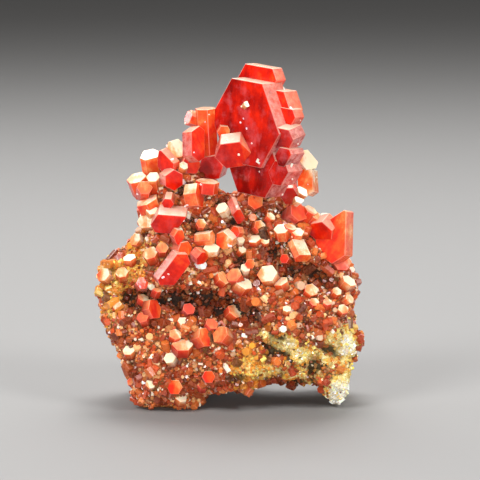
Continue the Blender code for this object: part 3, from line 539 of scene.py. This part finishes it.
# %% The table of smaller crystals
Seed = namedtuple("Seed", "across up faces turn width thick tone")
SEEDED = [
    Seed(2.8, 22.4, (0.2, 0.6, 0.8), 15, 1.6, 1.6, 0.9), Seed(3.6, 23.3, (0.1, 0.2, 0.9), 0, 1.6, 1.4, 0.6),
    Seed(2.3, 19.9, (0.45, 0.70, 0.55), 10, 3.2, 1.7, 0.7), Seed(1.4, 21.2, (-0.3, 0.5, 0.8), 0, 2.6, 2.0, 0.6),
    Seed(-0.8, 20.9, (0.55, 0.55, 0.6), 18, 2.5, 1.4, 0.7), Seed(8.7, 20.1, (-0.3, 0.8, 0.5), 0, 2.5, 1.4, 0.8),
    Seed(6.6, 21.4, (-0.25, 0.5, 0.8), 8, 3.3, 2.0, 0.8), Seed(13.1, 18.9, (0.3, 0.5, 0.8), 12, 2.3, 1.8, 0.75),
    Seed(17.2, 18.7, (0.3, 0.6, 0.75), 15, 1.6, 1.4, 0.8), Seed(19.0, 17.6, (0.6, 0.4, 0.7), 0, 1.6, 1.5, 0.7),
    Seed(19.0, 20.2, (0.5, 0.7, 0.5), 5, 2.5, 1.6, 0.7), Seed(15.8, 17.0, (0.1, 0.7, 0.7), 20, 1.5, 1.3, 0.6),
    Seed(13.7, 17.1, (0.2, 0.6, 0.8), 0, 1.6, 1.2, 0.7), Seed(18.2, 16.0, (0.3, 0.5, 0.8), 10, 1.8, 1.3, 0.75),
    Seed(9.4, 16.0, (0.1, 0.7, 0.7), 25, 1.4, 1.2, 0.9), Seed(0.9, 15.5, (0.55, 0.6, 0.6), 10, 2.7, 1.5, 0.8),
    Seed(2.1, 26.9, (0.2, 0.6, 0.75), 0, 1.3, 1.2, 0.9), Seed(2.2, 25.4, (0.4, 0.5, 0.75), 12, 1.4, 1.3, 0.9),
    Seed(6.0, 26.8, (0.1, 0.5, 0.85), 20, 1.4, 1.2, 0.85), Seed(4.4, 27.0, (-0.2, 0.8, 0.55), 0, 2.2, 0.9, 0.8),
    Seed(4.9, 29.2, (0.5, 0.3, 0.8), 10, 2.1, 1.3, 0.75), Seed(6.7, 30.6, (0.5, 0.6, 0.6), 0, 1.6, 1.2, 0.7),
    Seed(4.4, 33.1, (0.1, 0.2, 0.95), 25, 2.6, 2.4, 0.75), Seed(9.4, 24.1, (-0.4, 0.2, 0.9), 0, 1.6, 1.6, 0.6),
    Seed(-13.3, 17.6, (0.3, 0.8, 0.5), 10, 2.1, 1.1, 0.7), Seed(-11.9, 16.2, (0.8, 0.2, 0.55), 0, 3.4, 1.4, 0.6),
    Seed(-13.1, 14.6, (-0.2, 0.5, 0.8), 14, 2.0, 1.8, 0.6), Seed(-6.2, 16.0, (0.3, 0.5, 0.8), 10, 2.1, 1.4, 0.5),
    Seed(-7.0, 14.0, (0.2, 0.7, 0.7), 0, 1.8, 1.2, 0.85), Seed(-4.0, 11.7, (0.78, 0.30, 0.55), 0, 3.4, 1.6, 0.72),
    Seed(-0.5, 12.0, (-0.6, 0.4, 0.7), 0, 3.0, 1.9, 0.72), Seed(-7.0, 10.2, (0.05, 0.78, 0.62), 0, 3.4, 1.6, 0.6),
    Seed(-8.8, 8.3, (-0.3, 0.5, 0.8), 12, 2.0, 1.5, 0.95), Seed(-8.2, 12.0, (0.2, 0.6, 0.75), 20, 2.1, 1.2, 0.6),
    Seed(-15.4, 9.4, (-0.2, 0.6, 0.75), 0, 2.0, 1.3, 0.9), Seed(-12.2, 4.2, (0.2, 0.4, 0.9), 15, 1.6, 1.4, 0.9),
    Seed(-8.1, 3.9, (-0.2, 0.1, 0.97), 0, 2.5, 1.5, 0.6), Seed(-7.4, 1.8, (0.2, 0.7, 0.7), 10, 2.0, 1.4, 0.85),
    Seed(-3.0, 5.6, (0.2, 0.1, 0.95), 0, 2.1, 1.5, 0.6), Seed(-3.9, 3.9, (0.1, 0.7, 0.7), 0, 1.7, 1.2, 0.6),
    Seed(-2.6, 13.6, (0.4, 0.6, 0.7), 0, 2.2, 1.4, 0.6), Seed(-15.0, 4.3, (-0.5, 0.5, 0.7), 0, 1.7, 1.3, 0.6),
    Seed(-14.1, 27.0, (-0.6, 0.4, 0.7), 0, 2.2, 1.6, 0.7), Seed(-11.8, 24.6, (-0.3, 0.6, 0.7), 20, 2.6, 1.8, 0.8),
    Seed(-10.2, 25.6, (0.1, 0.5, 0.85), 0, 2.0, 1.6, 0.7), Seed(-19.2, 21.4, (-0.5, 0.4, 0.75), 0, 2.4, 1.6, 0.8),
    Seed(-16.5, 21.6, (-0.1, 0.6, 0.8), 12, 2.1, 1.6, 0.8), Seed(-15.3, 23.9, (-0.2, 0.8, 0.5), 0, 2.2, 1.3, 0.8),
    Seed(-13.5, 20.2, (0.3, 0.3, 0.9), 0, 2.1, 1.5, 0.6), Seed(-11.2, 19.0, (0.3, 0.7, 0.65), 10, 1.7, 1.6, 0.6),
]


def way_inside(seed, turned, foot):
    """How far the line of sight runs inside the solid prism, from its foot to its skin."""
    sight = seen(0, 0, 1)
    planes = [(turned @ Vector((0, 0, 1)), 0.0)]
    for side in range(6):
        outward_side = Vector((math.cos(math.radians(60 * side)), math.sin(math.radians(60 * side)), 0))
        planes.append((turned @ outward_side, seed.width / 2 * APOTHEM))
    ways = [(reach - foot.dot(plane)) / sight.dot(plane) for plane, reach in planes if sight.dot(plane) > 1e-4]
    return min(ways)


def seed_end(seed):
    """The middle of the end of the prism that the solid rock has at a noted place."""
    sight, axis = seen(0, 0, 1), seen(*seed.faces).normalized()
    hit = bare_tree.ray_cast(stands_at(seed.across, seed.up, FRONT_TOE_DEPTH) + sight * 60 * MM, -sight)[0]
    if hit is None:
        return None
    lift = (sight * 0.2 + axis * 0.5) * seed.thick
    return hit - sight * way_inside(seed, axis_turn(seed.faces, seed.turn), -lift) * MM + lift * MM


# %% Grow the smaller crystals
seeded = []
for seed in SEEDED:
    end = seed_end(seed)
    if end is None:
        continue
    sides = (seed.width / 2 * APOTHEM + 0.03,) * 6
    prism = six_sided_prism(sides, seed.thick + 0.03, 0.06)
    placed = Matrix.Translation(end) @ axis_turn(seed.faces, seed.turn).to_4x4()
    tone = seed.tone - 0.04 + chance.uniform(-0.12, 0.12)
    note_growth(prism.data, tone, placed @ Matrix.Translation((0, 0, 0.03 * MM)), 0.9, 0.35)
    seeded.append(prism)
smaller_crystals = join_as("smaller_crystals", seeded)
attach(smaller_crystals, "root")
print("smaller crystals:", len(seeded))

# %% [markdown]
# The broken rock still holds its own rough version of these prisms. Every rock point that was on
# one of them before it was broken up goes back inside the new crystal, and is noted as covered.

# %% Press the rock in under the crystals
def tree_of(pieces):
    """A search tree over the faces of several pieces."""
    points, loops = [], []
    for piece in pieces:
        start = len(points)
        points += [vertex.co.copy() for vertex in piece.data.vertices]
        loops += [tuple(corner + start for corner in face.vertices) for face in piece.data.polygons]
    return BVHTree.FromPolygons(points, loops)


smaller_tree = tree_of([smaller_crystals])
crystal_tree = tree_of([*large_crystals, smaller_crystals])
covered = [smaller_tree.find_nearest(start, 0.22 * MM)[0] is not None for start in unbroken]
for vertex, start, normal, under in zip(rock.data.vertices, unbroken, outward, covered):
    if under and start.z > 0.25 * MM:
        vertex.co = start - normal * 0.3 * MM
rock.data.update()
print("rock points pressed in:", sum(covered))

# %% [markdown]
# ## The crust
# Between the crystals the rock is covered with a crust of glassy grains, thousands of them, each
# a tiny six-sided prism. One is modelled for each of two sizes and its copies are written
# straight into one mesh, because placing thousands by operator would take minutes. Faces are
# drawn by lot, larger ones more often, and a grain that would stand in another is left out.
# Where the rock is yellow and crumbly the grains are small, dull and yellow. On the back they
# are sparser, since the open side of a vug is where crystals grow best. Grains that lie closed
# in are painted darker as shade, and a few are painted white as glints. A few tiny crystals sit
# on the large ones too, painted white as glints.

# %% Where grains may stand
crust_chance = random.Random(23)
rock_faces = rock.data.polygons
face_areas = [face.area for face in rock_faces]


def sow(count, smallest, largest, spacing, allowed):
    """Places for grains: point, normal, width and the rock's patches there, spaced apart."""
    taken, places = {}, []
    cell = largest * spacing * MM
    for face in crust_chance.choices(rock_faces, face_areas, k=count):
        width = smallest + (largest - smallest) * crust_chance.random() ** 2
        corner = face.vertices[crust_chance.randrange(len(face.vertices))]
        point, normal = face.center, face.normal
        if point.z < 0.5 * MM or covered[corner] or not allowed(point, normal, corner):
            continue
        if crystal_tree.find_nearest(point, width * 0.2 * MM)[0] is not None:
            continue
        key = tuple(int(part // cell) for part in point)
        around = [(key[0] + i, key[1] + j, key[2] + k) for i in (-1, 0, 1) for j in (-1, 0, 1) for k in (-1, 0, 1)]
        near = (other for box in around for other in taken.get(box, ()))
        if any((point - other).length < spacing * (width + size) / 2 * MM for other, size in near):
            continue
        taken.setdefault(key, []).append((point.copy(), width))
        places.append((point.copy(), normal.copy(), width, rock_patches[corner], rock_open[corner]))
    return places


def front_share(point, normal):
    """How likely a grain is to stand here: always on the front, now and then on the back."""
    return 1.0 if normal.y < 0.2 or point.y < -2 * MM else 0.45


def for_grains(point, normal, corner):
    ochre, pale, dark = rock_patches[corner]
    likely = front_share(point, normal) * (1 - min(1, 0.8 * ochre + 2.0 * pale)) * (1 - 0.8 * dark)
    return crust_chance.random() < likely


def for_sugar(point, normal, corner):
    ochre, pale, dark = rock_patches[corner]
    return crust_chance.random() < front_share(point, normal) * (1 - 0.6 * dark) * (1 - 0.7 * min(1, 1.4 * pale))


def specks_on(pieces, count):
    """Places for the few tiny crystals that sit on the large ones, each later painted white as a glint."""
    faces = [face for piece in pieces for face in piece.data.polygons if face.area > (0.5 * MM) ** 2]
    places = []
    for face, piece in zip(crust_chance.choices(faces, [face.area for face in faces], k=count), range(count)):
        corner = face.id_data.vertices[face.vertices[crust_chance.randrange(len(face.vertices))]].co
        point = face.center.lerp(corner, crust_chance.uniform(0.1, 0.95))
        # An openness of 2 marks a speck, which grain_tint paints white as a glint.
        places.append((point, face.normal.copy(), crust_chance.uniform(0.18, 0.45), (0.0, 0.0, 0.0), 2.0))
    return places


grain_places = sow(13000, 0.5, 1.6, 0.60, for_grains)
sugar_places = sow(36000, 0.26, 0.66, 0.68, for_sugar) + specks_on(large_crystals, 110)
print("grains:", len(grain_places), "sugar:", len(sugar_places))

# %% Copies of one grain in one mesh
# The last red, near white, is for painted glints.
REDS = [(0.52, 0.058, 0.010), (0.26, 0.030, 0.007), (0.68, 0.16, 0.030), (0.86, 0.46, 0.20), (0.97, 0.84, 0.70)]
EARTHS = [(0.70, 0.26, 0.026), (0.84, 0.58, 0.12), (0.92, 0.84, 0.46), (0.96, 0.94, 0.86), (0.14, 0.045, 0.012)]


def grain_tint(patches, free, width):
    """A grain's colour, drawn from the palette of its patch, the palest for small grains only, darkened by painted
    shade where it lies closed in, a few of them painted white as glints.
    """
    # Painted glints: the specks on the large crystals, and a few grains in the dark patches, are white.
    if free > 1 or crust_chance.random() < 0.07 * patches[2]:
        return tuple(part * crust_chance.uniform(0.8, 1.0) for part in (0.97, 0.82, 0.74))
    ochre, pale, dark = patches
    fair = min(1.3, 0.8 / width) ** 2
    # Painted shade: a grain that lies closed in is darkened, on top of a random tone.
    painted_light_and_tone = crust_chance.uniform(0.5, 1.2) * (0.12 + 0.88 * free)
    if crust_chance.random() < ochre + pale:
        yellow = min(1.0, pale * 1.2 + 0.08)
        weights = [max(0.05, 1 - yellow), 0.7 * yellow, max(0.0, pale - 0.2), max(0.0, pale - 0.6) * 4, 0.08]
        tint, painted_light_and_tone = crust_chance.choices(EARTHS, weights)[0], 0.5 + 0.6 * painted_light_and_tone + 0.1 * pale
    else:
        tint = crust_chance.choices(REDS, [0.32, 0.18, 0.28, 0.15 * fair, 0.09 * fair])[0]
    # More painted shade in the dark patches. Dimming takes green and blue first, so a shaded grain turns deep
    # red-brown and a brightened one paler, as painted light.
    painted_light_and_tone *= 1 - 0.6 * dark
    return tuple(min(1.0, part * painted_light_and_tone ** power) for part, power in zip(tint, (1.0, 1.7, 2.3)))


LOWEST = np.array(SOLID_BOX[0]) - np.array((0.2, 0.5, 1.0)) * MM
HIGHEST = np.array(SOLID_BOX[1]) + np.array((0.2, 0.5, 1.0)) * MM


def copies_of(model, places, name, sunk):
    """One mesh with a copy of the model at each place that keeps it in the solids' box."""
    shape = np.array([vertex.co for vertex in model.data.vertices])
    kinds = [1.0 if is_end(face) else 0.0 for face in model.data.polygons]
    loops = [list(face.vertices) for face in model.data.polygons]
    points, faces, colours, inside = [], [], [], []
    for point, normal, width, patches, free in places:
        lean = Vector([crust_chance.gauss(0, 1) for _ in range(3)]).normalized()
        axis = (normal * 0.25 + lean).normalized()
        turned = axis.to_track_quat("Z", "Y").to_matrix() @ Matrix.Rotation(crust_chance.uniform(0, 6.3), 3, "Z")
        tall = width * crust_chance.uniform(0.6, 1.7)
        stretched = shape * np.array((width, width, tall))
        at = np.array(point + (axis * tall * 0.5 + normal * width * (0.5 - sunk)) * MM)
        placed = stretched @ np.array(turned).T + at
        if (placed.min(axis=0) < LOWEST).any() or (placed.max(axis=0) > HIGHEST).any():
            continue
        number = len(points)
        points.append(placed)
        inside.append(stretched / MM + number * 0.73)
        faces += [[corner + number * len(shape) for corner in loop] for loop in loops]
        tint = grain_tint(patches, free, width)
        colours += [(*tint, kind) for loop, kind in zip(loops, kinds) for _ in loop]
    points = np.concatenate(points)
    points[:, 2] = np.maximum(points[:, 2], 0.05 * MM)
    mesh = bpy.data.meshes.new(name)
    mesh.from_pydata(points.tolist(), [], faces)
    tints = mesh.attributes.new("tint", "FLOAT_COLOR", "CORNER")
    tints.data.foreach_set("color", np.array(colours, dtype=np.float32).ravel())
    grown = mesh.attributes.new("grown", "FLOAT_VECTOR", "POINT")
    grown.data.foreach_set("vector", np.concatenate(inside).astype(np.float32).ravel())
    bpy.data.objects.remove(model)
    made = bpy.data.objects.new(name, mesh)
    bpy.context.scene.collection.objects.link(made)
    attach(made, "root")
    return made


def bevelled_grain():
    """The grain that is copied, a millimetre across its corners and a millimetre tall."""
    return six_sided_prism((APOTHEM / 2,) * 6, 1.0, 0.05, segments=1)


def plain_grain():
    """The grain for the finest crust, with its twelve corners and eight faces."""
    bpy.ops.mesh.primitive_cylinder_add(vertices=6, radius=0.5 * MM, depth=MM, location=(0, 0, -0.5 * MM))
    bpy.ops.object.transform_apply(location=True, rotation=False, scale=False)
    return bpy.context.object


def front_and_back(make_model, places, name, sunk):
    """The crust in two pieces, so that neither grows too heavy."""
    front = [place for place in places if place[0].y < -0.5 * MM]
    back = [place for place in places if place[0].y >= -0.5 * MM]
    return [copies_of(make_model(), front, name + "_front", sunk), copies_of(make_model(), back, name + "_back", sunk)]


crust = front_and_back(bevelled_grain, grain_places, "crust_grains", 0.45)
crust += front_and_back(plain_grain, sugar_places, "crust_sugar", 0.40)
for piece in crust:
    piece.data.calc_loop_triangles()
    print(piece.name, "triangles:", len(piece.data.loop_triangles))

# %% [markdown]
# ## Finishes
# Two effects are used by every finish, so each is made once as a node group. The first is a soft
# cloud mask. The second is a fine relief that a Bump node turns into grain and growth lines.

# %% Shared effects
def add(tree, kind, links=(), **settings):
    """A node with its settings made, and its inputs given values or linked, by name or number."""
    made = tree.nodes.new(kind)
    for name, value in settings.items():
        setattr(made, name, value)
    for key, value in links:
        socket = made.inputs[key]
        if isinstance(value, bpy.types.NodeSocket):
            tree.links.new(value, socket)
        else:
            socket.default_value = value
    return made


def mixed(tree, share, first, second, blend="MIX"):
    """One colour laid over another by a share."""
    return add(tree, "ShaderNodeMix", [(0, share), (6, first), (7, second)],
               data_type="RGBA", blend_type=blend).outputs[2]


def reckon(tree, operation, *values):
    """The result of one sum."""
    return add(tree, "ShaderNodeMath", list(enumerate(values)), operation=operation).outputs[0]


def rescaled(tree, value, low, high, new_low=0.0, new_high=1.0):
    """A value moved from one range to another, and kept within it."""
    return add(tree, "ShaderNodeMapRange", [(0, value), (1, low), (2, high), (3, new_low), (4, new_high)]).outputs[0]


def new_group(name, takes, gives):
    """A node group with its named inputs and outputs."""
    group = bpy.data.node_groups.new(name, "ShaderNodeTree")
    for socket, kind in takes:
        group.interface.new_socket(socket, in_out="INPUT", socket_type=kind)
    for socket, kind in gives:
        group.interface.new_socket(socket, in_out="OUTPUT", socket_type=kind)
    return group, group.nodes.new("NodeGroupInput").outputs, group.nodes.new("NodeGroupOutput").inputs


VECTOR, VALUE = "NodeSocketVector", "NodeSocketFloat"
clouds, taken, given = new_group(
    "clouds", [("Place", VECTOR), ("Scale", VALUE), ("From", VALUE), ("To", VALUE)], [("Mask", VALUE)])
cloud = add(clouds, "ShaderNodeTexNoise", [("Vector", taken["Place"]), ("Scale", taken["Scale"]),
                                           ("Detail", 4.0), ("Roughness", 0.6)])
clouds.links.new(rescaled(clouds, cloud.outputs[0], taken["From"], taken["To"]), given["Mask"])

relief, taken, given = new_group(
    "fine_relief", [("Place", VECTOR), ("Stretch", VECTOR), ("Scale", VALUE)], [("Height", VALUE)])
stretched = add(relief, "ShaderNodeVectorMath", [(0, taken["Place"]), (1, taken["Stretch"])], operation="MULTIPLY")
lines = add(relief, "ShaderNodeTexNoise", [("Vector", stretched.outputs[0]), ("Scale", taken["Scale"]),
                                           ("Detail", 3.0), ("Roughness", 0.55)])
relief.links.new(lines.outputs[0], given["Height"])


def cloud_mask(tree, place, scale, low, high):
    """The cloud mask over a place, as one output."""
    made = add(tree, "ShaderNodeGroup", [], node_tree=clouds)
    tree.links.new(place, made.inputs["Place"])
    for name, value in (("Scale", scale), ("From", low), ("To", high)):
        made.inputs[name].default_value = value
    return made.outputs["Mask"]


def relief_height(tree, place, stretch, scale):
    """The fine relief over a place, as one output."""
    made = add(tree, "ShaderNodeGroup", [], node_tree=relief)
    tree.links.new(place, made.inputs["Place"])
    made.inputs["Stretch"].default_value = stretch
    made.inputs["Scale"].default_value = scale
    return made.outputs["Height"]


def new_finish(name, **surface_values):
    """A material with a Principled surface and its plain values set on the shader itself."""
    made = bpy.data.materials.new(name)
    made.use_nodes = True
    surface = made.node_tree.nodes["Principled BSDF"]
    for key, value in surface_values.items():
        surface.inputs[key.replace("_", " ")].default_value = value
    return made, made.node_tree, surface


def attribute(tree, name):
    """A named attribute of the mesh."""
    return add(tree, "ShaderNodeAttribute", [], attribute_name=name)


print("shared effects:", clouds.name, relief.name)

# %% [markdown]
# ### Vanadinite
# The mineral's flat faces mirror a lamp almost white and look deep red everywhere else, so the
# specular is kept low and the lamps small. Light also enters and glows back orange, which a
# little subsurface gives. The ends are clear and smooth, with a pink haze in the darkest ones.
# The sides are frosted, pitted and lined. Faces turned up and bevels are paler, a painted
# highlight, and every crystal darkens towards its foot, a painted shade.

# %% The crystals' finish
crystal_finish, tree, surface = new_finish(
    "vanadinite_crystal", IOR=1.55, Specular_IOR_Level=0.32, Subsurface_Weight=0.3, Subsurface_Scale=0.0012)
surface.inputs["Subsurface Radius"].default_value = (1.0, 0.22, 0.10)
grown = attribute(tree, "grown").outputs["Vector"]
kind = attribute(tree, "kind")
clear, tone, upward = add(tree, "ShaderNodeSeparateColor", [(0, kind.outputs["Color"])]).outputs
edge = kind.outputs["Alpha"]
side = reckon(tree, "SUBTRACT", reckon(tree, "SUBTRACT", 1.0, clear), edge)
broad = cloud_mask(tree, grown, 0.35, 0.32, 0.68)
small = cloud_mask(tree, grown, 1.6, 0.45, 0.75)
pitted = cloud_mask(tree, grown, 1.3, 0.36, 0.60)
zones = relief_height(tree, grown, (0.3, 1.4, 1.4), 0.6)
depth = reckon(tree, "ADD", tone, reckon(tree, "MULTIPLY", reckon(tree, "SUBTRACT", broad, 0.5), 0.34))
depth = reckon(tree, "ADD", depth, reckon(tree, "MULTIPLY", reckon(tree, "SUBTRACT", zones, 0.5), 0.5))
ramp = add(tree, "ShaderNodeValToRGB", [(0, depth)])
ramp.color_ramp.elements[0].color = (0.18, 0.002, 0.002, 1)
ramp.color_ramp.elements[1].color = (0.93, 0.74, 0.52, 1)
for position, colour in ((0.30, (0.48, 0.007, 0.003)), (0.50, (0.74, 0.017, 0.003)),
                         (0.70, (0.80, 0.095, 0.012)), (0.86, (0.84, 0.30, 0.09))):
    ramp.color_ramp.elements.new(position).color = (*colour, 1)
haze = reckon(tree, "MULTIPLY", cloud_mask(tree, grown, 0.42, 0.50, 0.68), rescaled(tree, tone, 0.28, 0.46, 0.5, 0.05))
colour = mixed(tree, reckon(tree, "MULTIPLY", haze, clear), ramp.outputs[0], (0.58, 0.11, 0.12, 1))
frost = reckon(tree, "MULTIPLY", side, reckon(tree, "ADD", reckon(tree, "MULTIPLY", pitted, 0.46), 0.14))
frost = reckon(tree, "MULTIPLY", frost, rescaled(tree, tone, 0.30, 0.64, 1.1, 0.35))
frost_colour = mixed(tree, rescaled(tree, tone, 0.35, 0.60), (0.86, 0.42, 0.38, 1), (0.88, 0.42, 0.20, 1))
colour = mixed(tree, frost, colour, frost_colour)
pits = reckon(tree, "MULTIPLY", cloud_mask(tree, grown, 4.5, 0.56, 0.66), side)
colour = mixed(tree, reckon(tree, "MULTIPLY", pits, 0.55), colour, (0.40, 0.035, 0.020, 1))
# Painted highlight: faces turned up, and bevels a little, are mixed towards cream.
painted_highlight = reckon(tree, "ADD", reckon(tree, "MULTIPLY", upward, 0.60), reckon(tree, "MULTIPLY", edge, 0.14))
colour = mixed(tree, painted_highlight, colour, (0.96, 0.78, 0.58, 1))
# Painted shade: each crystal is darker towards its foot.
colour = mixed(tree, attribute(tree, "foot").outputs["Fac"], colour, (0.20, 0.012, 0.004, 1))
tree.links.new(colour, surface.inputs["Base Color"])
dull = reckon(tree, "ADD", reckon(tree, "MULTIPLY", small, 0.14), reckon(tree, "MULTIPLY", side, 0.08))
dull = reckon(tree, "ADD", dull, reckon(tree, "MULTIPLY", edge, 0.25))
tree.links.new(reckon(tree, "ADD", dull, 0.10), surface.inputs["Roughness"])
growth_lines = relief_height(tree, grown, (0.25, 0.25, 3.0), 1.8)
hillocks = relief_height(tree, grown, (1.0, 1.0, 0.2), 0.9)
height = reckon(tree, "ADD", reckon(tree, "MULTIPLY", growth_lines, side), reckon(tree, "MULTIPLY", hillocks, clear))
bump = add(tree, "ShaderNodeBump", [("Height", height), ("Strength", 0.5), ("Distance", 0.00008)])
tree.links.new(bump.outputs[0], surface.inputs["Normal"])
for piece in [*large_crystals, smaller_crystals]:
    piece.data.materials.clear()
    piece.data.materials.append(crystal_finish)
print("finish:", crystal_finish.name)

# %% [markdown]
# ### The crust
# A grain's tint, painted shade and glints included, comes with it. Its ends are clearer and its
# sides duller, and a fine cloud over each grain keeps the thousands of copies from looking stamped.

# %% The crust's finish
crust_finish, tree, surface = new_finish(
    "crust_crystal", IOR=1.65, Specular_IOR_Level=0.4, Subsurface_Weight=0.25, Subsurface_Scale=0.0006)
surface.inputs["Subsurface Radius"].default_value = (1.0, 0.30, 0.12)
grown = attribute(tree, "grown").outputs["Vector"]
tint = attribute(tree, "tint")
small = cloud_mask(tree, grown, 2.5, 0.35, 0.70)
colour = mixed(tree, reckon(tree, "MULTIPLY", small, 0.18), tint.outputs["Color"], (0.80, 0.36, 0.14, 1))
tree.links.new(colour, surface.inputs["Base Color"])
clear = rescaled(tree, tint.outputs["Alpha"], 0.0, 1.0, 0.24, 0.10)
tree.links.new(reckon(tree, "ADD", clear, reckon(tree, "MULTIPLY", small, 0.20)), surface.inputs["Roughness"])
grain_lines = relief_height(tree, grown, (1.0, 1.0, 2.5), 4.0)
bump = add(tree, "ShaderNodeBump", [("Height", grain_lines), ("Strength", 0.4), ("Distance", 0.00004)])
tree.links.new(bump.outputs[0], surface.inputs["Normal"])
for piece in crust:
    piece.data.materials.append(crust_finish)
print("finish:", crust_finish.name)

# %% [markdown]
# ### Rock
# The patches noted on the rock mix four earth colours: a red-brown ground, ochre, pale yellow
# and chalk white. Two sizes of noise break the borders, specks of iron darken them, and in the
# clefts, hollows and closed-in places the rock is painted nearly black as shade.

# %% The rock's finish
rock_finish, tree, surface = new_finish("ore_rock", IOR=1.5, Specular_IOR_Level=0.2)
place = add(tree, "ShaderNodeTexCoord").outputs["Object"]
in_mm = add(tree, "ShaderNodeVectorMath", [(0, place), (1, (1000, 1000, 1000))], operation="MULTIPLY").outputs[0]
patches = add(tree, "ShaderNodeSeparateColor", [(0, attribute(tree, "patchwork").outputs["Color"])])
ochre, pale, dark = patches.outputs
broad = cloud_mask(tree, in_mm, 0.5, 0.35, 0.65)
fine = cloud_mask(tree, in_mm, 2.6, 0.40, 0.62)
specks = cloud_mask(tree, in_mm, 5.5, 0.55, 0.66)
ground = mixed(tree, fine, (0.085, 0.026, 0.010, 1), (0.30, 0.095, 0.026, 1))
ground = mixed(tree, reckon(tree, "MULTIPLY", broad, 0.5), ground, (0.34, 0.15, 0.045, 1))
earthy = mixed(tree, fine, (0.48, 0.20, 0.03, 1), (0.74, 0.44, 0.10, 1))
yellow = mixed(tree, fine, (0.78, 0.52, 0.12, 1), (0.94, 0.82, 0.40, 1))
chalk = mixed(tree, fine, (0.80, 0.70, 0.48, 1), (0.95, 0.93, 0.84, 1))
broken_ochre = rescaled(tree, reckon(tree, "ADD", ochre, reckon(tree, "MULTIPLY", fine, 0.3)), 0.35, 0.75)
broken_yellow = rescaled(tree, reckon(tree, "ADD", pale, reckon(tree, "MULTIPLY", broad, 0.3)), 0.30, 0.60)
broken_chalk = rescaled(tree, reckon(tree, "ADD", pale, reckon(tree, "MULTIPLY", fine, 0.2)), 0.80, 1.05)
colour = mixed(tree, broken_ochre, ground, earthy)
colour = mixed(tree, broken_yellow, colour, yellow)
colour = mixed(tree, broken_chalk, colour, chalk)
colour = mixed(tree, reckon(tree, "MULTIPLY", specks, 0.7), colour, (0.09, 0.03, 0.012, 1))
# Painted shade: dark patches, hollows and closed-in places go nearly black.
colour = mixed(tree, rescaled(tree, dark, 0.15, 0.85, 0.0, 0.92), colour, (0.012, 0.006, 0.004, 1))
tree.links.new(colour, surface.inputs["Base Color"])
tree.links.new(rescaled(tree, fine, 0.0, 1.0, 0.85, 0.45), surface.inputs["Roughness"])
crumbs = relief_height(tree, in_mm, (1.0, 1.0, 1.0), 4.5)
bump = add(tree, "ShaderNodeBump", [("Height", crumbs), ("Strength", 0.8), ("Distance", 0.00018)])
tree.links.new(bump.outputs[0], surface.inputs["Normal"])
rock.data.materials.clear()
rock.data.materials.append(rock_finish)
print("finish:", rock_finish.name)

# %% [markdown]
# ## Floor and light
# The specimen stands on a plain pale floor. Four soft boxes stand above and behind it, so that
# faces turned up and outwards mirror them. Two small ones high in front give the white glints,
# and a low one lights the ends that look down. The room itself is kept dim: a bright room
# would lay a white veil over the deep reds.

# %% Floor
bpy.ops.mesh.primitive_plane_add(size=6, location=(0, 0, -0.02 * MM))
floor = bpy.context.object
floor.name = "floor"
floor_finish, tree, surface = new_finish("pale_floor", Roughness=0.7)
surface.inputs["Base Color"].default_value = (0.24, 0.235, 0.23, 1)
floor.data.materials.append(floor_finish)

# %% Lights
world = bpy.data.worlds.new("dim_room")
bpy.context.scene.world = world
world.use_nodes = True
world.node_tree.nodes["Background"].inputs[0].default_value = (1.0, 0.98, 0.96, 1)
world.node_tree.nodes["Background"].inputs[1].default_value = 0.12


def soft_box(name, place, wide, tall, watts, tint=(1, 1, 1)):
    """A rectangular lamp that looks at the middle of the specimen."""
    lamp = bpy.data.lights.new(name, "AREA")
    lamp.shape = "RECTANGLE"
    lamp.size, lamp.size_y, lamp.energy, lamp.color = wide, tall, watts, tint
    made = bpy.data.objects.new(name, lamp)
    bpy.context.scene.collection.objects.link(made)
    made.location = place
    made.rotation_euler = (Vector((0, 0, 0.03)) - Vector(place)).to_track_quat("-Z", "Y").to_euler()


soft_box("top_box", (0.0, 0.25, 0.33), 0.44, 0.28, 1.2)
soft_box("overhead_box", (0.0, 0.14, 0.40), 0.18, 0.16, 1.4)
soft_box("left_box", (-0.33, 0.22, 0.12), 0.14, 0.16, 0.45)
soft_box("right_box", (0.36, 0.20, 0.10), 0.20, 0.20, 0.35)
soft_box("key_box", (-0.25, -0.26, 0.38), 0.16, 0.16, 1.7)
soft_box("second_key_box", (0.29, -0.24, 0.345), 0.12, 0.12, 1.2)
soft_box("low_front_box", (0.0, -0.55, 0.085), 0.12, 0.12, 2.0)
bpy.context.scene.view_settings.view_transform = "Standard"
